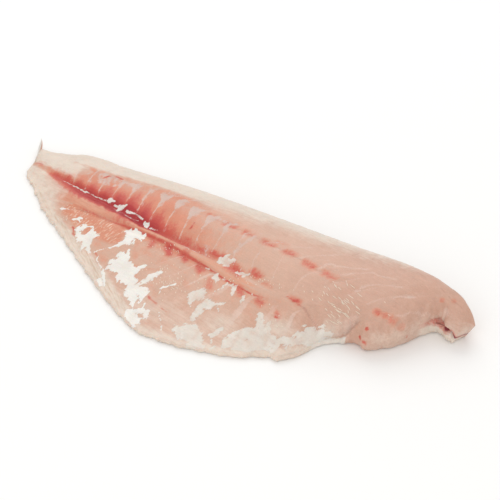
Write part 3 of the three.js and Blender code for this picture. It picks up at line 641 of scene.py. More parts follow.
# %% Orange streaks of the tail and the belly
ORANGE_STROKES = [
    (0.75, 1.6, [(-134, 38.5, -124, 36.4, 1, 1.3), (-124, 36.4, -114, 33, 1.3, 2.2),
                 (-132, 40.6, -126, 38.6, 0.7, 0.9)]),
    (0.55, 1.2, [(-117, 47, -114.6, 46.6, 0.5, 0.5), (-110, 44.8, -106.4, 43.6, 0.7, 0.9),
                 (-104, 44, -101, 43.6, 0.6, 0.6)]),
    (0.85, 2, [(-98, 42, -93, 40, 1.5, 2), (-93.4, 39, -90.6, 33, 1.2, 1.2)]),
    (0.62, 3, [(-104, 21, -95, 16.6, 2.6, 3.4), (-100, 13.4, -92, 12.4, 1.6, 2)]),
    (0.5, 2.4, [(-114, 25, -104, 22, 1.6, 2), (-112, 18.6, -104, 14, 0.9, 1), (-106, 20, -96, 15, 2.6, 4)]),
    (0.85, 2.2, [(-97, 19.5, -90, 15.5, 2, 3), (-92, 14, -80, 12, 1.8, 1.4)]),
    (0.5, 1.6, [(-112, 12.6, -104, 8.6, 0.5, 0.5), (-90, 2.6, -84, -0.8, 0.9, 0.9),
                (-76, -6, -64, -13.6, 0.6, 0.8)]),
    (0.5, 2.6, [(-60, -11, -54, -14, 1.6, 2.2), (-44, 0, -40, -8, 1.6, 1.4), (-22, -22, -16, -28, 1.4, 1)]),
    (0.36, 4, [(-70, -3, -58, -8, 3, 3), (-38, -3, -10, -10, 4.4, 2)]),
    (0.46, 2, [(-37, -15, -30, -25, 2.4, 2), (-30.4, -14, -24, -12, 1.4, 1.2)]),
    (0.4, 3, [(-9, -11, -4, -18, 2, 2.4), (-20, -30, -4, -36, 1.4, 1.4), (1, -29, 5, -31, 1.6, 1.6)]),
    (0.36, 3, [(32, -20, 38, -25, 2, 1.6), (22, -16, 24, -20, 2, 1.6), (9, -14, 13, -18, 2, 2)])]
for strength, soft, rows in ORANGE_STROKES:
    inside = ease(-soft, soft, strokes(torn_x, torn_y, rows)[0])
    orange = np.maximum(orange, (strength + 0.15 * streaky) * inside)
under_ridge = bell(furrow_side, -1.5, 5) * between(X, -56, -44, 44, 58)
reddish = 0.4 + 0.26 * between(X, -60, -46, -20, 6)
orange = np.maximum(orange, (reddish + 0.15 * streaky) * under_ridge)
# Thin blood spreads into the flesh around it and looks orange there.
orange = np.maximum(orange, 0.9 * np.sqrt(np.clip(blood, 0, 1)))
print("orange strokes:", sum(len(rows) for _, _, rows in ORANGE_STROKES))

# %% Beige back, tail and margin
beige_from = straight([
    (-108, 44), (-92, 43.8), (-75, 42.8), (-60, 42), (-40, 41), (-20, 39.5), (0, 37.5), (20, 36.5),
    (40, 35), (60, 34.6), (80, 36), (104, 40)])
reach_up = 4 + 5 * ease(-30, 10, X)
up_the_back = (Y - beige_from(X) + 2 * cloudy + 12) / (12 + reach_up)
beige = ease(0, 1, up_the_back) * (1 - 0.75 * ease(84, 122, X)) * (1 - 0.2 * ease(30, 60, X))
beige = beige * ease(-0.5, 2.5, Y - edge_of_back(X) + 12 * ease(-30, 0, X) + 0.8 * cloudy)
pale_tail = (1 - ease(-106, -96, X + 3 * cloudy)) * ease(-1, 2.5, groove_side - 0.6 * red_above(X))
beige = np.maximum(beige, pale_tail * (1 - 0.8 * orange))
tail_belly = (1 - ease(-108, -90, X + 4 * cloudy)) * ease(-2, 0, -groove_side - red_below(X))
beige = np.maximum(beige, (0.8 + 0.2 * streaky) * tail_belly * (1 - 0.45 * orange))
margin_width = straight([(-134, 4), (-112, 5), (-100, 7), (-84, 8), (-64, 10), (-44, 11), (-26, 9), (-8, 5)])
margin = (1 - ease(0.55, 1.15, (to_margin + 0.8 * cloudy) / margin_width(X))) * (1 - ease(-30, -6, X))
beige = np.maximum(beige, 0.85 * margin * (1 - 0.5 * orange))
beige = np.maximum(beige, 0.8 * (1 - ease(1.5, 8, to_margin)) * (1 - ease(66, 86, X)))
beige = np.maximum(beige, 0.62 * bell(X, 23, 12) * bell(Y, -31, 8))
beige = np.maximum(beige, 0.75 * bell(X, 51, 9) * bell(Y, -22, 5))
beige = np.maximum(beige, 0.4 * ease(-50, -34, X) * bell(Y, -36, 10))
beige = np.maximum(beige, 0.42 * ease(82, 96, X) * ease(18, 8, Z) * (SHARE < 0.9) * (Y < midline(X)))
nape = ease(4, 110, X)
print("beige share:", round(float((beige > 0.5).mean()), 2))

# %% Flake walls and their frosted flares
FIRST_FLARE, LAST_FLARE = -1, 12  # the walls where the flares begin and end
FLARE_MM = [0, 0.8, 1.4, 2, 3.4, 2.2, 5.6, 3.2, 4.8, 3.6, 1.8, 1.2, 0.4, 0]
flare = np.interp(nearest, np.arange(FIRST_FLARE, LAST_FLARE + 1), FLARE_MM)
rise = np.clip((bend_side + 17) / 15, 0, 1)
veil = 0.2 + flare * rise ** 2.1 - np.where(ahead > 0, ahead, -2.2 * ahead)
veil = np.minimum(veil, edge_of_back(X) - 2 - Y + 1.8 * cloudy)
flared = (groove_side > 1) & (nearest >= FIRST_FLARE) & (nearest < LAST_FLARE)
veil = np.where(flared, veil, OUTSIDE)
FROSTED = [
    (-91, 39.6, -86.6, 33.4, 1.6, 0.8), (-87.4, 40, -83.4, 32.4, 1.8, 1.1),
    (-84, 40.4, -80.6, 32.8, 1.8, 1.1), (-80.6, 39.4, -77, 33.2, 1.5, 0.8), (-77.4, 37.6, -75.2, 34, 1, 0.6),
    (-84, 34.6, -81.4, 31, 1, 0.4),
    (-71.6, 37.4, -67, 36.6, 1.6, 1.6), (-58.4, 38, -56, 33, 0.9, 0.7), (-57.8, 38.4, -52, 39.4, 0.5, 0.3),
    (-56, 31, -54.8, 24.6, 1.1, 0.6), (-101, 40, -92.6, 31.6, 0.35, 0.6), (-10, 26, 2, 27, 0.4, 0.2),
    (13.6, 21, 9, 8.6, 1.6, 1), (-7, 8, -4.6, 3.8, 0.8, 0.9), (3.4, 7, 7, 11, 0.4, 0.3),
    (-31, 36, -25, 37, 0.6, 0.6), (-46, 36, -36, 37, 0.7, 0.4), (-48, 37, -40, 38.4, 0.5, 0.3)]
veil = np.maximum(veil, strokes(torn_x, torn_y, FROSTED)[0])
RED_SLITS = [(-86.4, 37.4, -84.8, 40.6, 0.6, 0.4), (-81.6, 40.6, -77.6, 40.4, 0.5, 0.6)]
slits, _ = strokes(torn_x, torn_y, RED_SLITS)
veil = np.minimum(veil, -3 * ease(-0.8, 0.2, slits) + 9 * ease(0.2, -0.8, slits))
blood = paint(blood, RED_SLITS, 0.95, 0.5)
wall_width = 0.25 + 0.12 * lumps(X, Y, 7, 51) + 0.8 * ease(-0.5, -3, mid_side) * ease(-14, 10, X)
share_along = straight([
    (-112, 0), (-98, 0.6), (-40, 0.75), (-8, 0.45), (20, 0.26), (50, 0.3), (112, 0.4), (120, 0)])
loin_share = share_along(X) * ease(1, 5, groove_side) * ease(-1, 1, mid_side)
past_bends = ease(3, 10, bend_side) * (1 - ease(40, 60, X))
head_end = ease(46, 60, X) * (1 - ease(18, 24, Y))
loin_share = loin_share * (1 - 0.85 * past_bends) * np.where(X > 56, np.maximum(head_end, 0.25), 1)
belly_share = 0.5 * between(-mid_side, 2, 5, 14, 26) * ease(-46, -30, X)
belly_share = belly_share * (1 - ease(54, 62, X))
wall_share = np.maximum(loin_share, belly_share) * (0.75 + 0.5 * lumps(X, Y, 6, 52))
wall_share = np.where(X > 66, wall_share * ease(1, 5, Y), wall_share)
print("widest flare, mm:", max(FLARE_MM))

# %% Thin dark lines, pale arcs, painted light and shade, and the cleft under the nape
# The first three lines lie in the folds by the collar, where they are painted shade.
DARK_LINES = [
    (57.5, -10.6, 63, -12.4, 0.3, 0.25), (63, -12.4, 70, -13.4, 0.3, 0.25),
    (82, -8, 84.6, -13, 0.3, 0.3), (-96, 12.4, -80, 11.6, 0.2, 0.3), (44, -8, 62, -11.4, 0.25, 0.25)]
for number in range(FIRST_SPOT, LAST_SPOT):
    (x, y), (beyond, then) = bend_of(number), bend_of(number + 1)
    DARK_LINES.append((x + 1.6, y - 0.2, x + 0.55 * (beyond - x), then + 0.7 * (y - then), 0.25, 0.15))
dark = paint(np.zeros_like(X), DARK_LINES, 0.42, 0.45)
SHORT_MARKS = [
    (100, 33, 104, 31, 0.3, 0.2), (92, 36, 95, 37.4, 0.3, 0.2),
    (86, 31, 88, 30, 0.3, 0.2), (70, 36, 74, 38, 0.4, 0.2), (112, 29, 115, 27, 0.3, 0.2),
    (90.6, 0, 94.6, 4.4, 0.25, 0.2), (90, 2.4, 96, 1, 0.2, 0.2), (64, 30, 66, 34, 0.4, 0.3),
    (74, 32, 73.4, 35.6, 0.3, 0.3), (118, 26, 126, 24, 0.3, 0.2), (96, 12, 98, 8, 0.2, 0.2)]
dark = paint(dark, SHORT_MARKS, 0.38, 0.6)
ARCS = [  # pale flake edges that sweep up and forward over the thick end
    [(40.6, 14.7), (48.4, 20.8), (61.3, 28.7), (72, 31.4)],
    [(54, 12.8), (56.8, 17.8), (68.3, 20.7), (76, 23)],
    [(60.4, 2.8), (61.3, 8), (64.8, 13.5), (72.4, 18.9), (78.8, 21.6), (90.5, 23)],
    [(76.5, 8.2), (80.4, 13.8), (88.4, 17.5), (96, 20)],
    [(85.6, 3.8), (89.1, 7.5), (95.2, 12.5), (103, 17.8)],
    [(100.7, 3.8), (104.2, 8), (109, 13.4), (113, 17)], [(28, 16), (34, 21), (44, 26)]]
pale = np.zeros_like(X)
for arc in ARCS:
    pale = paint(pale, [(*a, *b, 0.4, 0.4) for a, b in zip(arc, arc[1:])], 0.52 + 0.36 * cloudy, 1)
# Painted light along the crease by the collar, to lighten its shade.
CREASE_PAINTED_LIGHT = [(75, -10.6, 79, -7.2, 1.2, 1.6), (79, -7.2, 83.4, -3.4, 1.6, 1)]  # by the collar
pale = paint(pale, CREASE_PAINTED_LIGHT, 0.5, 2.4)
# Painted light on a dip above the cleft, to lighten its shade.
HOLLOW_PAINTED_LIGHT_AT = (119.4, 21.2, 14.6)  # a dip above the cleft, kept pale
pale = np.maximum(pale, 0.6 * ease(3.6, 0.8, away_from(*HOLLOW_PAINTED_LIGHT_AT)))
on_wall = (place_in_loop < RIM_POINTS) & (X > SLIT_FROM_X)
# The shade inside the slit of the cleft is painted: a dark red line on the wall at this height.
cleft_shade_height = straight([
    (108, 9.4), (114, 8.6), (117.5, 7.5), (121, 7.4), (124.8, 8.1), (127.1, 6.6), (128.6, 4.8),
    (130, 3.2)])
CLEFT_SHADE_WIDE, RED_BAND_WIDE = 0.85, 2.2
below_slit = cleft_shade_height(X) - Z
shaded_cleft = bell(below_slit, 0, CLEFT_SHADE_WIDE) * ease(118.5, 121.5, X) * ease(131.8, 129.6, X)
shaded_cleft = np.where(on_wall, shaded_cleft, 0.0)
# A reddish band along the slit, strongest at it and fading up and down the wall.
red_along_slit = 0.5 * bell(below_slit, 0, RED_BAND_WIDE) * ease(106, 114, X) * ease(131, 128, X)
blood = np.where(on_wall, np.maximum(blood, red_along_slit), blood)
# The lip under the slit: pale beige flesh, and painted light against the shade of the lobe over it.
lip_pale_and_painted_light = ease(1.2, 2.4, below_slit) * ease(107, 112, X) * ease(130, 126.5, X)
beige = np.where(on_wall, np.maximum(beige, lip_pale_and_painted_light), beige)
ridge = on_ridge * between(X, -104, -90, 20, 44) * (1 - 0.3 * bell(X, -58, 14))
print("points in the cleft:", int((shaded_cleft > 0.5).sum()))

# %% [markdown]
# ## The sides that the camera doesn't see
#
# Skinning leaves the flakes' outer ends in a pattern of chevrons, and along the middle of
# the side a band of darker, reddish muscle that lay just under the skin. They could be a
# second material, but as fields over the underside they take the same layers and noise as
# the rest, and the finish runs round the rim without a seam. A point's place in its loop
# says whether it is underneath. Faint walls also run over the far side of the back.

# %% The far side of the back, and the side that the skin came off
underside_from = LOOP - STRETCHES["underside"] - STRETCHES["back_under"]
underneath = (place_in_loop >= underside_from).astype(float)
over_the_back = ease(-18, -6, place_in_loop - underside_from) * ease(-124, -104, X) * ease(128, 112, X)
wall_share = np.maximum(wall_share, 0.5 * over_the_back * (1 - underneath))
off_lateral = Y - 0.5 * (back_edge(X) + belly_edge(X)) - 6
under_band = underneath * bell(off_lateral, 0, 5 + 4 * ease(-120, 60, X))
under_band = under_band * ease(-132, -112, X) * ease(126, 96, X)
under_phase = wall_count(X + 0.85 * np.sqrt(off_lateral ** 2 + 4))
under_share = 0.6 * underneath * ease(-130, -108, X) * ease(130, 110, X)
print("points underneath:", int(underneath.sum()))

# %% Where cream flecks of fat and membrane, and painted glints, lie
FLECK_SPOTS = [  # share, x, y, and how far it reaches along and across
    (0.5, 70, 1, 8, 8), (0.45, 77, -4, 5, 6), (0.7, 30, -4, 14, 3), (0.4, -8, -18, 14, 9),
    (0.5, -18, -15, 10, 5), (0.35, -84, 6, 14, 5), (0.3, 100, 3, 8, 5), (0.5, -26, 2, 12, 3),
    (0.35, 46, -20, 8, 4)]
flecks = sum(share * bell(X, x, wide) * bell(Y, y, tall) for share, x, y, wide, tall in FLECK_SPOTS)
# flecks and painted glints along the upper and lower edges of the ridge
flecks = flecks + 1.2 * bell(Y, ridge_high(X) - 0.3, 0.5) * bell(X, -8, 8)
flecks = flecks + 1.4 * bell(Y, ridge_low(X) + 0.3, 0.5) * bell(X, 14, 9)
flecks = np.clip(flecks, 0, 1.4) * (SHARE > 0.2) * (silverskin_and_highlight < -0.3)
fleck_length = 0.8 + 1.8 * bell(X, 74, 14)
print("flecked points:", int((flecks > 0.2).sum()))

# %% [markdown]
# ## Building the mesh
#
# The loops become a grid of four-sided faces that closes on itself, with a fan at each
# end. The silverskin is a thin layer, so it lifts the surface a little, and the same lift
# lies under the painted highlights. The fields are stored as attributes of the points, and
# the material reads them by name.

# %% Fine lift and the mesh
WHITE_LAYER_MM = 0.08
Z = Z + np.where(SHARE > 0, WHITE_LAYER_MM * ease(-0.3, 0.7, silverskin_and_highlight) * SHARE, 0)

MILLIMETRE_SHIFT = np.array(
    [MM_IN_M * fillet_high.x - HEAD_X, MM_IN_M * fillet_low.y - Y.min(), 0.0])


def lofted(name, rings):
    """A closed object through rings of points, in the curves' millimetres."""
    stations, loop = rings.shape[:2]
    k = np.arange(loop)
    n = (k + 1) % loop
    starts = np.arange(stations - 1)[:, None] * loop
    corners = [starts + k, starts + loop + k, starts + loop + n, starts + n]
    faces = np.stack(corners, axis=-1).reshape(-1, 4).tolist()
    first, last = stations * loop, stations * loop + 1
    end = (stations - 1) * loop
    for a, b in zip(k.tolist(), n.tolist()):
        faces += [[first, a, b], [last, end + b, end + a]]
    points = np.concatenate([rings.reshape(-1, 3), rings[[0, -1]].mean(axis=1)])
    mesh = bpy.data.meshes.new(name)
    mesh.from_pydata(((points + MILLIMETRE_SHIFT) * MM).tolist(), [], faces)
    mesh.update()
    mesh.shade_smooth()
    made = bpy.data.objects.new(name, mesh)
    bpy.context.scene.collection.objects.link(made)
    return made


def store(thing, name, values):
    """Stores a field of a lofted object, with the middle of each end ring for its hub."""
    with_hubs = np.concatenate([values.reshape(-1), [values[0].mean(), values[-1].mean()]])
    stored = thing.data.attributes.new(name, "FLOAT", "POINT")
    stored.data.foreach_set("value", with_hubs.astype(np.float32))


fillet = lofted("mullet_fillet", np.stack([X, Y, Z], axis=-1))
print("faces:", len(fillet.data.polygons), "shift, mm:", MILLIMETRE_SHIFT.round(2))

# %% Store the fields
FIELDS = {"blood": blood, "orange": orange, "beige": beige, "nape": nape, "silverskin_and_highlight": silverskin_and_highlight,
          "edge_jag": edge_jag, "bright": np.clip(bright, 0, 1), "film_and_highlight_share": 0.95 - less_white,
          "margin": margin * ease(0, 3, to_margin), "phase": phase, "wall_width": wall_width,
          "wall_share": wall_share, "veil": veil, "fan": fan, "pale": pale, "ridge": ridge,
          "dark": dark, "shaded_cleft": shaded_cleft, "underneath": underneath, "under_band": under_band,
          "under_phase": under_phase, "under_share": under_share}
FLECK_FIELDS = {"flecks": flecks, "fleck_length": fleck_length}
for name, values in (FIELDS | FLECK_FIELDS).items():
    store(fillet, name, values)
print("fields:", ", ".join(FIELDS))

# %% [markdown]
# ## Raw fish flesh
#
# Raw white fish is mostly water, so light goes a few millimetres into it and comes back
# soft and slightly warm: that is subsurface scattering. Its surface is cut muscle under a
# film of water, with an index of refraction near 1.38. Colours are given as sRGB hex
# values, which one function turns to the linear values that Blender works in. One small
# function adds a node with its settings and links. The flesh is then a stack of layers,
# each with its own field, colour and noise, so the stack is a table and a loop.

# %% Colour and node helpers
def linear(hex_code):
    """A colour's linear values from its sRGB hex code."""
    parts = [int(hex_code[i:i + 2], 16) / 255 for i in (1, 3, 5)]
    return tuple(c / 12.92 if c <= 0.04045 else ((c + 0.055) / 1.055) ** 2.4 for c in parts) + (1.0,)


def add(tree, kind, inputs=None, **settings):
    """Adds a node. Settings are its properties; inputs are its sockets, by name or number."""
    node = tree.nodes.new(kind)
    for name, value in settings.items():
        setattr(node, name, value)
    for key, value in (inputs or {}).items():
        if isinstance(value, bpy.types.NodeSocket):
            tree.links.new(value, node.inputs[key])
        else:
            node.inputs[key].default_value = value
    return node


def blank_material(name):
    """A new material, and its node tree with nothing in it."""
    material = bpy.data.materials.new(name)
    material.use_nodes = True
    material.node_tree.nodes.clear()
    return material, material.node_tree


WATER_IOR = 1.38  # of a wet surface
flesh, tree = blank_material("raw_mullet_flesh")
print("material:", flesh.name)

# %% Noise at the sizes that flesh shows
NOISES = {  # size in mm, detail, stretch, degrees that its long way is turned, roughness
    "mottle": (16, 4, 1, 0, 0.55), "cloud": (4.5, 4, 1, 0, 0.6), "streak": (1.0, 3, 10, -13, 0.6),
    "fibre": (0.8, 3, 8, 32, 0.6), "edgewise": (0.8, 3, 10, -41, 0.6),
    "upright": (1.0, 3, 7, 94, 0.6), "hatch": (0.9, 2, 12, 70, 0.5),
    "torn": (2.2, 5, 2.6, 62, 0.7), "grain": (0.6, 3, 1, 0, 0.6)}
place = add(tree, "ShaderNodeTexCoord").outputs["Object"]
noises = {}
for name, (size, detail, stretch, turn, rough) in NOISES.items():
    turned = add(tree, "ShaderNodeMapping", {
        "Vector": place, "Rotation": (0, 0, math.radians(turn)), "Scale": (stretch, 1, 1)},
        vector_type="TEXTURE")
    noise = add(tree, "ShaderNodeTexNoise", {
        "Vector": turned.outputs[0], "Scale": 1 / (size * MM), "Detail": detail, "Roughness": rough})
    spread_out = add(tree, "ShaderNodeMath", {0: noise.outputs[0], 1: 4.0, 2: -2.0},
                     operation="MULTIPLY_ADD")  # noise keeps near 0.5, so this takes it from -1 to 1
    noises[name] = spread_out.outputs[0]
print("noises, mm:", {name: values[0] for name, values in NOISES.items()})

# %% Distance to the nearest flake wall
FLAKE_MM = 11
UNDER_WALL_MM = 0.3
fields = {name: add(tree, "ShaderNodeAttribute", attribute_name=name).outputs["Fac"]
          for name in FIELDS}
WALLS = [("wall", "phase", fields["wall_width"]), ("under_wall", "under_phase", UNDER_WALL_MM)]
for name, phase_name, wide in WALLS:
    half_on = add(tree, "ShaderNodeMath", {0: fields[phase_name], 1: 0.5}, operation="ADD")
    within = add(tree, "ShaderNodeMath", {0: half_on.outputs[0]}, operation="FRACT")
    off_wall = add(tree, "ShaderNodeMath", {0: within.outputs[0], 1: 0.5}, operation="SUBTRACT")
    off_wall = add(tree, "ShaderNodeMath", {0: off_wall.outputs[0]}, operation="ABSOLUTE")
    fields[name] = add(tree, "ShaderNodeMath", {0: off_wall.outputs[0], 1: -FLAKE_MM, 2: wide},
                       operation="MULTIPLY_ADD").outputs[0]
print("fields in the material:", len(fields))

# %% Layers of colour, from the muscle outwards
LIGHT = 1.1  # the studio light on level flesh, so that colours can be given as they look
COLOURS = {
    "pink": "#D8AE98", "nape": "#D0A590", "beige": "#E5D4C4", "orange": "#DA8C6E", "red": "#CB5547",
    "dark red": "#B23135", "ridge": "#DC9F83", "pale line": "#EDCFB7", "tan": "#CBAA8E", "wall": "#E8CFC2",
    "veil": "#D6BAAD", "silver": "#F2EDE5", "film_and_highlight": "#E3D9CD", "line": "#9A5A50",
    "shaded_cleft": "#8A363C", "underside": "#DDBBA8", "lateral band": "#B9796A", "chevron": "#EBD6C8"}
COLOURS = {name: tuple(c / LIGHT for c in linear(code)[:3]) + (1.0,) for name, code in COLOURS.items()}
LAYERS = [  # field, colour, where it starts and is full, its strength, and its noises
    ("nape", "nape", 0.0, 1.0, 1.0, [("mottle", 0.3)]),
    ("orange", "orange", 0.1, 0.95, 1.0, [("streak", 0.07), ("upright", 0.09), ("cloud", 0.15)]),
    ("beige", "beige", 0.0, 1.0, 1.0, [("streak", 0.14), ("cloud", 0.16)]),
    ("margin", "tan", 0.7, 1.7, 0.75, [("edgewise", 0.8), ("grain", 0.2)]),
    ("fan", "pale line", 0.95, 1.85, 0.85, [("hatch", 0.9), ("fibre", 0.3), ("grain", 0.25)]),
    ("ridge", "ridge", 0.3, 1.2, 0.9, [("streak", 0.7)]),
    ("blood", "red", 0.12, 0.9, 1.0, [("upright", 0.1), ("fibre", 0.1), ("cloud", 0.1), ("grain", 0.2)]),
    ("blood", "dark red", 0.74, 1.24, 1.0, [("streak", 0.14), ("grain", 0.12)]),
    # the pale arcs, and painted light on the crease by the collar and on the dip above the cleft
    ("pale", "wall", 0.0, 1.0, 0.9, [("grain", 0.15)]),
    ("wall", "wall", -0.15, 0.4, "wall_share", [("torn", 0.3), ("grain", 0.2)]),
    ("veil", "veil", -0.5, 1.4, 0.9, [("torn", 1.2), ("cloud", 0.9), ("upright", 0.9), ("grain", 0.3)]),
    ("dark", "line", 0.0, 1.0, 1.0, []),
    # the white of the silverskin, and painted highlights of the wet surface
    ("silverskin_and_highlight", "film_and_highlight", -0.04, 0.2, "film_and_highlight_share", [("torn", "edge_jag"), ("grain", 0.14)]),
    ("silverskin_and_highlight", "silver", -0.04, 0.2, "bright", [("torn", "edge_jag"), ("grain", 0.14)]),
    # painted shade inside the slit of the cleft
    ("shaded_cleft", "shaded_cleft", 0.2, 0.8, 1.0, []),
    ("underneath", "underside", 0.0, 1.0, 1.0, []),
    ("under_band", "lateral band", 0.1, 1.0, 0.8, [("streak", 0.16), ("cloud", 0.16), ("grain", 0.1)]),
    ("under_wall", "chevron", -0.25, 0.4, "under_share", [("torn", 0.3), ("grain", 0.2)])]
shade = COLOURS["pink"]
shares = {}
for name, colour, start, full, strength, textures in LAYERS:
    reach = fields[name]
    for texture, amount in textures:
        amount = fields.get(amount, amount)
        reach = add(tree, "ShaderNodeMath", {0: noises[texture], 1: amount, 2: reach},
                    operation="MULTIPLY_ADD").outputs[0]
    share = add(tree, "ShaderNodeMapRange", {
        "Value": reach, "From Min": start, "From Max": full, "To Max": fields.get(strength, strength)},
        interpolation_type="SMOOTHSTEP").outputs["Result"]
    shade = add(tree, "ShaderNodeMix", {0: share, 6: shade, 7: COLOURS[colour]},
                data_type="RGBA").outputs[2]
    shares[colour] = share
print("layers:", ", ".join(shares))

# %% Tone, bump and shading
tone = 1.0
for texture, amount in (("mottle", 0.035), ("cloud", 0.04), ("streak", 0.035), ("grain", 0.06)):
    tone = add(tree, "ShaderNodeMath", {0: noises[texture], 1: amount, 2: tone},
               operation="MULTIPLY_ADD").outputs[0]
toned = add(tree, "ShaderNodeHueSaturation", {"Color": shade, "Value": tone})
height = 0.0
RAISED = [(noises["streak"], 0.12), (noises["fibre"], 0.1), (noises["grain"], 0.12), (shares["film_and_highlight"], 0.6),
          (shares["wall"], -0.4), (shares["veil"], 0.2), (shares["line"], -0.3)]
for raised, amount in RAISED:
    height = add(tree, "ShaderNodeMath", {0: raised, 1: amount, 2: height},
                 operation="MULTIPLY_ADD").outputs[0]
bump = add(tree, "ShaderNodeBump", {"Height": height, "Strength": 0.6, "Distance": 0.25 * MM})
FLESH_ROUGHNESS, FILM_SMOOTHER = 0.44, 0.1
wetness = add(tree, "ShaderNodeMath", {0: shares["film_and_highlight"], 1: -FILM_SMOOTHER, 2: FLESH_ROUGHNESS},
              operation="MULTIPLY_ADD")
shader = add(tree, "ShaderNodeBsdfPrincipled", {
    "Base Color": toned.outputs[0], "Roughness": wetness.outputs[0], "IOR": WATER_IOR,
    "Normal": bump.outputs[0], "Subsurface Weight": 0.15, "Subsurface Radius": (1.0, 0.45, 0.3),
    "Subsurface Scale": 2 * MM,
    "Coat Weight": 0.12, "Coat Roughness": 0.2})
add(tree, "ShaderNodeOutputMaterial", {"Surface": shader.outputs[0]})
fillet.data.materials.append(flesh)
print("nodes in the flesh:", len(tree.nodes))

# %% [markdown]
# ## A wisp of membrane at the tail
#
# A thin leaf of membrane stands along the upper half of the tail cut and ends in a point.
# It is lofted like the fillet: each ring is a flat lens between an inner and an outer edge.

# %% The wisp
WISP_INNER = [(-134, 41.2, 1.5), (-134.9, 44.1, 2), (-135.4, 46.6, 2.2), (-136.6, 49.9, 2), (-137.5, 52, 1.7),
              (-138.5, 54.2, 2.7), (-139.7, 56, 3.6), (-141.1, 57.4, 4.1)]
WISP_OUTER = [(-134.3, 41.8, 2.1), (-136.1, 45, 2.9), (-137.2, 47.4, 3.1), (-138.5, 50.3, 3.5),
              (-139.4, 52.8, 3.9), (-140.3, 55.2, 4.1), (-140.9, 56.6, 4.2), (-141.3, 57.6, 4.3)]
WISP_MM, WISP_RINGS, LENS = 0.5, 30, 12  # its thickness, and the rings and points of a ring
LEAF_FACES = np.array([0.5, 0.1, 0.86])  # the way that its flat side faces
along = np.linspace(0, 1, WISP_RINGS)
chain = np.linspace(0, 1, len(WISP_INNER))
edges = [np.stack([np.interp(along, chain, np.array(edge)[:, axis]) for axis in range(3)], axis=-1)
         for edge in (WISP_INNER, WISP_OUTER)]
angle = np.linspace(0, 2 * math.pi, LENS, endpoint=False)
across = 0.5 - 0.5 * np.cos(angle)
swell = 0.5 * WISP_MM * np.sin(angle)
wisp_rings = (edges[0][:, None] * (1 - across)[:, None] + edges[1][:, None] * across[:, None])
thinner = (1 - 0.6 * along)[:, None] * swell
wisp_rings = wisp_rings + thinner[..., None] * LEAF_FACES
wisp = lofted("tail_wisp", wisp_rings)
store(wisp, "outer", np.broadcast_to(across, wisp_rings.shape[:2]))

# A thin wet membrane, pale and slightly see-through, with a blood-stained seam at its root.
membrane, tree = blank_material("thin_wet_membrane")
outer = add(tree, "ShaderNodeAttribute", attribute_name="outer")
seam = add(tree, "ShaderNodeMapRange", {"Value": outer.outputs["Fac"], "From Min": 0.25, "From Max": 0.6})
shade = add(tree, "ShaderNodeMix", {0: seam.outputs["Result"], 6: COLOURS["ridge"], 7: COLOURS["silver"]},
            data_type="RGBA")
shader = add(tree, "ShaderNodeBsdfPrincipled", {
    "Base Color": shade.outputs[2], "Roughness": 0.35, "IOR": WATER_IOR,
    "Transmission Weight": 0.2})
add(tree, "ShaderNodeOutputMaterial", {"Surface": shader.outputs[0]})
wisp.data.materials.append(membrane)
print("wisp faces:", len(wisp.data.polygons))

# %% [markdown]
# ## Flecks of fat, and painted glints
#
# Cream flecks of fat and torn membrane lie on the flesh beside the ridge, on the belly and
# over the collar, and the same flecks stand for painted glints on the wet fibres. Geometry
# Nodes strews one small spindle over a copy of the fillet, as thickly as the "flecks" field
# says. The result is made a plain mesh.

# %% The node tree for flecks
strew = bpy.data.node_groups.new("strew_flecks", "GeometryNodeTree")
INPUTS = [("Geometry", "Geometry", None), ("Flecks per square metre", "Float", 300000.0),
          ("Shortest", "Float", 0.5 * MM), ("Longest", "Float", 1.8 * MM), ("Width", "Float", 0.32 * MM),
          ("Height", "Float", 0.18 * MM), ("Seed", "Int", 7)]
sockets = {}
for name, kind, value in INPUTS:
    sockets[name] = strew.interface.new_socket(name, in_out="INPUT", socket_type="NodeSocket" + kind)
strew.interface.new_socket("Geometry", in_out="OUTPUT", socket_type="NodeSocketGeometry")
given = add(strew, "NodeGroupInput").outputs
field = add(strew, "GeometryNodeInputNamedAttribute", {"Name": "flecks"}, data_type="FLOAT")
longer = add(strew, "GeometryNodeInputNamedAttribute", {"Name": "fleck_length"}, data_type="FLOAT")
density = add(strew, "ShaderNodeMath", {0: field.outputs[0], 1: given["Flecks per square metre"]},
              operation="MULTIPLY")
strewn = add(strew, "GeometryNodeDistributePointsOnFaces", {
    "Mesh": given["Geometry"], "Density": density.outputs[0], "Seed": given["Seed"]})
spindle = add(strew, "GeometryNodeMeshIcoSphere", {"Radius": 0.5, "Subdivisions": 2})
smooth = add(strew, "GeometryNodeSetShadeSmooth", {"Geometry": spindle.outputs["Mesh"]})
length = add(strew, "FunctionNodeRandomValue", {
    "Min": given["Shortest"], "Max": given["Longest"], "Seed": given["Seed"]}, data_type="FLOAT")
stretched = add(strew, "ShaderNodeMath", {0: length.outputs[1], 1: longer.outputs[0]},
                operation="MULTIPLY")
size = add(strew, "ShaderNodeCombineXYZ", {
    "X": stretched.outputs[0], "Y": given["Width"], "Z": given["Height"]})
twist = add(strew, "FunctionNodeRandomValue", {"Min": -1.05, "Max": -0.4, "Seed": given["Seed"]},
            data_type="FLOAT")
about_up = add(strew, "ShaderNodeCombineXYZ", {"Z": twist.outputs[1]})
turned = add(strew, "FunctionNodeRotateRotation", {
    "Rotation": strewn.outputs["Rotation"], "Rotate By": about_up.outputs[0]}, rotation_space="LOCAL")
flecked = add(strew, "GeometryNodeInstanceOnPoints", {
    "Points": strewn.outputs["Points"], "Instance": smooth.outputs[0], "Rotation": turned.outputs[0],
    "Scale": size.outputs[0]})
fat_and_glint, fat_and_glint_tree = blank_material("cream_fat_and_glint")
real = add(strew, "GeometryNodeRealizeInstances", {"Geometry": flecked.outputs[0]})
coloured = add(strew, "GeometryNodeSetMaterial", {"Geometry": real.outputs[0], "Material": fat_and_glint})
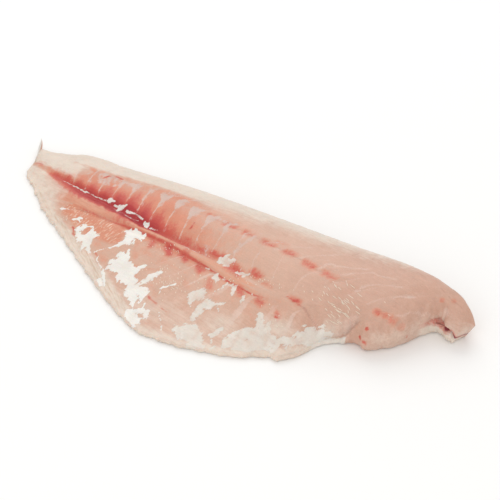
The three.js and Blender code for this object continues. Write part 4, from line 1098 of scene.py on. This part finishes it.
add(strew, "NodeGroupOutput", {0: coloured.outputs[0]})

# %% Strew the flecks
# Fat is paler than flesh and a little duller, as water does not film it. The same cream
# also stands for painted glints.
shader = add(fat_and_glint_tree, "ShaderNodeBsdfPrincipled", {
    "Base Color": linear("#E6D5BF"), "Roughness": 0.45, "IOR": 1.44, "Subsurface Weight": 0.2,
    "Subsurface Radius": (1.0, 0.7, 0.5), "Subsurface Scale": 1 * MM})
add(fat_and_glint_tree, "ShaderNodeOutputMaterial", {"Surface": shader.outputs[0]})
flecks_of_fat_and_glints = bpy.data.objects.new("cream_flecks", fillet.data.copy())
bpy.context.scene.collection.objects.link(flecks_of_fat_and_glints)
modifier = flecks_of_fat_and_glints.modifiers.new("strew", "NODES")
modifier.node_group = strew
for name, kind, value in INPUTS[1:]:
    modifier[sockets[name].identifier] = value
evaluated = flecks_of_fat_and_glints.evaluated_get(bpy.context.evaluated_depsgraph_get())
plain = bpy.data.meshes.new_from_object(evaluated)
flecks_of_fat_and_glints.modifiers.clear()
flecks_of_fat_and_glints.data = plain
plain.materials.clear()
plain.materials.append(fat_and_glint)
plain.polygons.foreach_set("material_index", np.zeros(len(plain.polygons), dtype=np.int32))
print("fleck faces:", len(plain.polygons), "attributes:", [a.name for a in plain.attributes])

# %% [markdown]
# ## Riding and replacing
#
# The fillet has no joints, so every piece rides on the one body, the root. The fine fillet
# stands for the CAD solid of the same shape.

# %% Tie the pieces to the frame
for piece in (fillet, wisp, flecks_of_fat_and_glints):
    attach(piece, "root")
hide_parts("fillet")

# %% [markdown]
# ## Floor, light and camera
#
# The photograph is a cut-out on white under broad soft light, so the floor is plain and
# pale, and the lamps are large. The camera looks down at 40 degrees from the belly side,
# turned 28.5 degrees towards the head end.

# %% Floor
FLOOR_HALF, FLOOR_DROP = 2.5, 0.2 * MM
floor_mesh = bpy.data.meshes.new("floor")
floor_mesh.from_pydata([(-FLOOR_HALF, -FLOOR_HALF, 0), (FLOOR_HALF, -FLOOR_HALF, 0),
                        (FLOOR_HALF, FLOOR_HALF, 0), (-FLOOR_HALF, FLOOR_HALF, 0)], [], [(0, 1, 2, 3)])
floor = bpy.data.objects.new("floor", floor_mesh)
floor.location.z = -FLOOR_DROP
bpy.context.scene.collection.objects.link(floor)
paper = bpy.data.materials.new("matt_white_paper")
paper.use_nodes = True
paper_shader = paper.node_tree.nodes["Principled BSDF"]
paper_shader.inputs["Base Color"].default_value = linear("#F6F5F3")
paper_shader.inputs["Roughness"].default_value = 0.9
floor_mesh.materials.append(paper)

# %% Light
scene = bpy.context.scene
world = bpy.data.worlds.new("studio")
world.use_nodes = True
AROUND = 0.78  # the strength of the light from all round
background = world.node_tree.nodes["Background"]
background.inputs["Color"].default_value = (1, 1, 1, 1)
background.inputs["Strength"].default_value = AROUND
scene.world = world


def softbox(name, at, aim, size, watts):
    """A large soft lamp at one place, turned to another."""
    lamp = bpy.data.lights.new(name, "AREA")
    lamp.size = size
    lamp.energy = watts
    holder = bpy.data.objects.new(name, lamp)
    holder.location = at
    holder.rotation_euler = (Vector(aim) - Vector(at)).to_track_quat("-Z", "Y").to_euler()
    scene.collection.objects.link(holder)


softbox("over_the_back", (-0.5, 0.9, 1.1), (0, 0, 0), 1.2, 7)
softbox("over_the_belly", (0.3, -1.1, 0.9), (0, 0, 0), 1.4, 6)
scene.view_settings.view_transform = "Standard"

# %% Camera
AZIMUTH, ELEVATION, DISTANCE = math.radians(28.5), math.radians(40), 0.9
PIXELS_PER_MM, FRAME_PIXELS, SENSOR = 1.95, 500, 36.0
AIM_MM = np.array([9.0, 24.6, 7.5])
aim = (AIM_MM + MILLIMETRE_SHIFT) * MM
to_camera = np.array([math.sin(AZIMUTH) * math.cos(ELEVATION), -math.cos(AZIMUTH) * math.cos(ELEVATION),
                      math.sin(ELEVATION)])
camera = bpy.data.objects.new("camera", bpy.data.cameras.new("camera"))
camera.data.sensor_width = SENSOR
camera.data.lens = PIXELS_PER_MM * DISTANCE / MM / FRAME_PIXELS * SENSOR
camera.location = aim + to_camera * DISTANCE
camera.rotation_euler = Vector(-to_camera).to_track_quat("-Z", "Y").to_euler()
scene.collection.objects.link(camera)
scene.camera = camera
print("lens, mm:", round(camera.data.lens, 1))
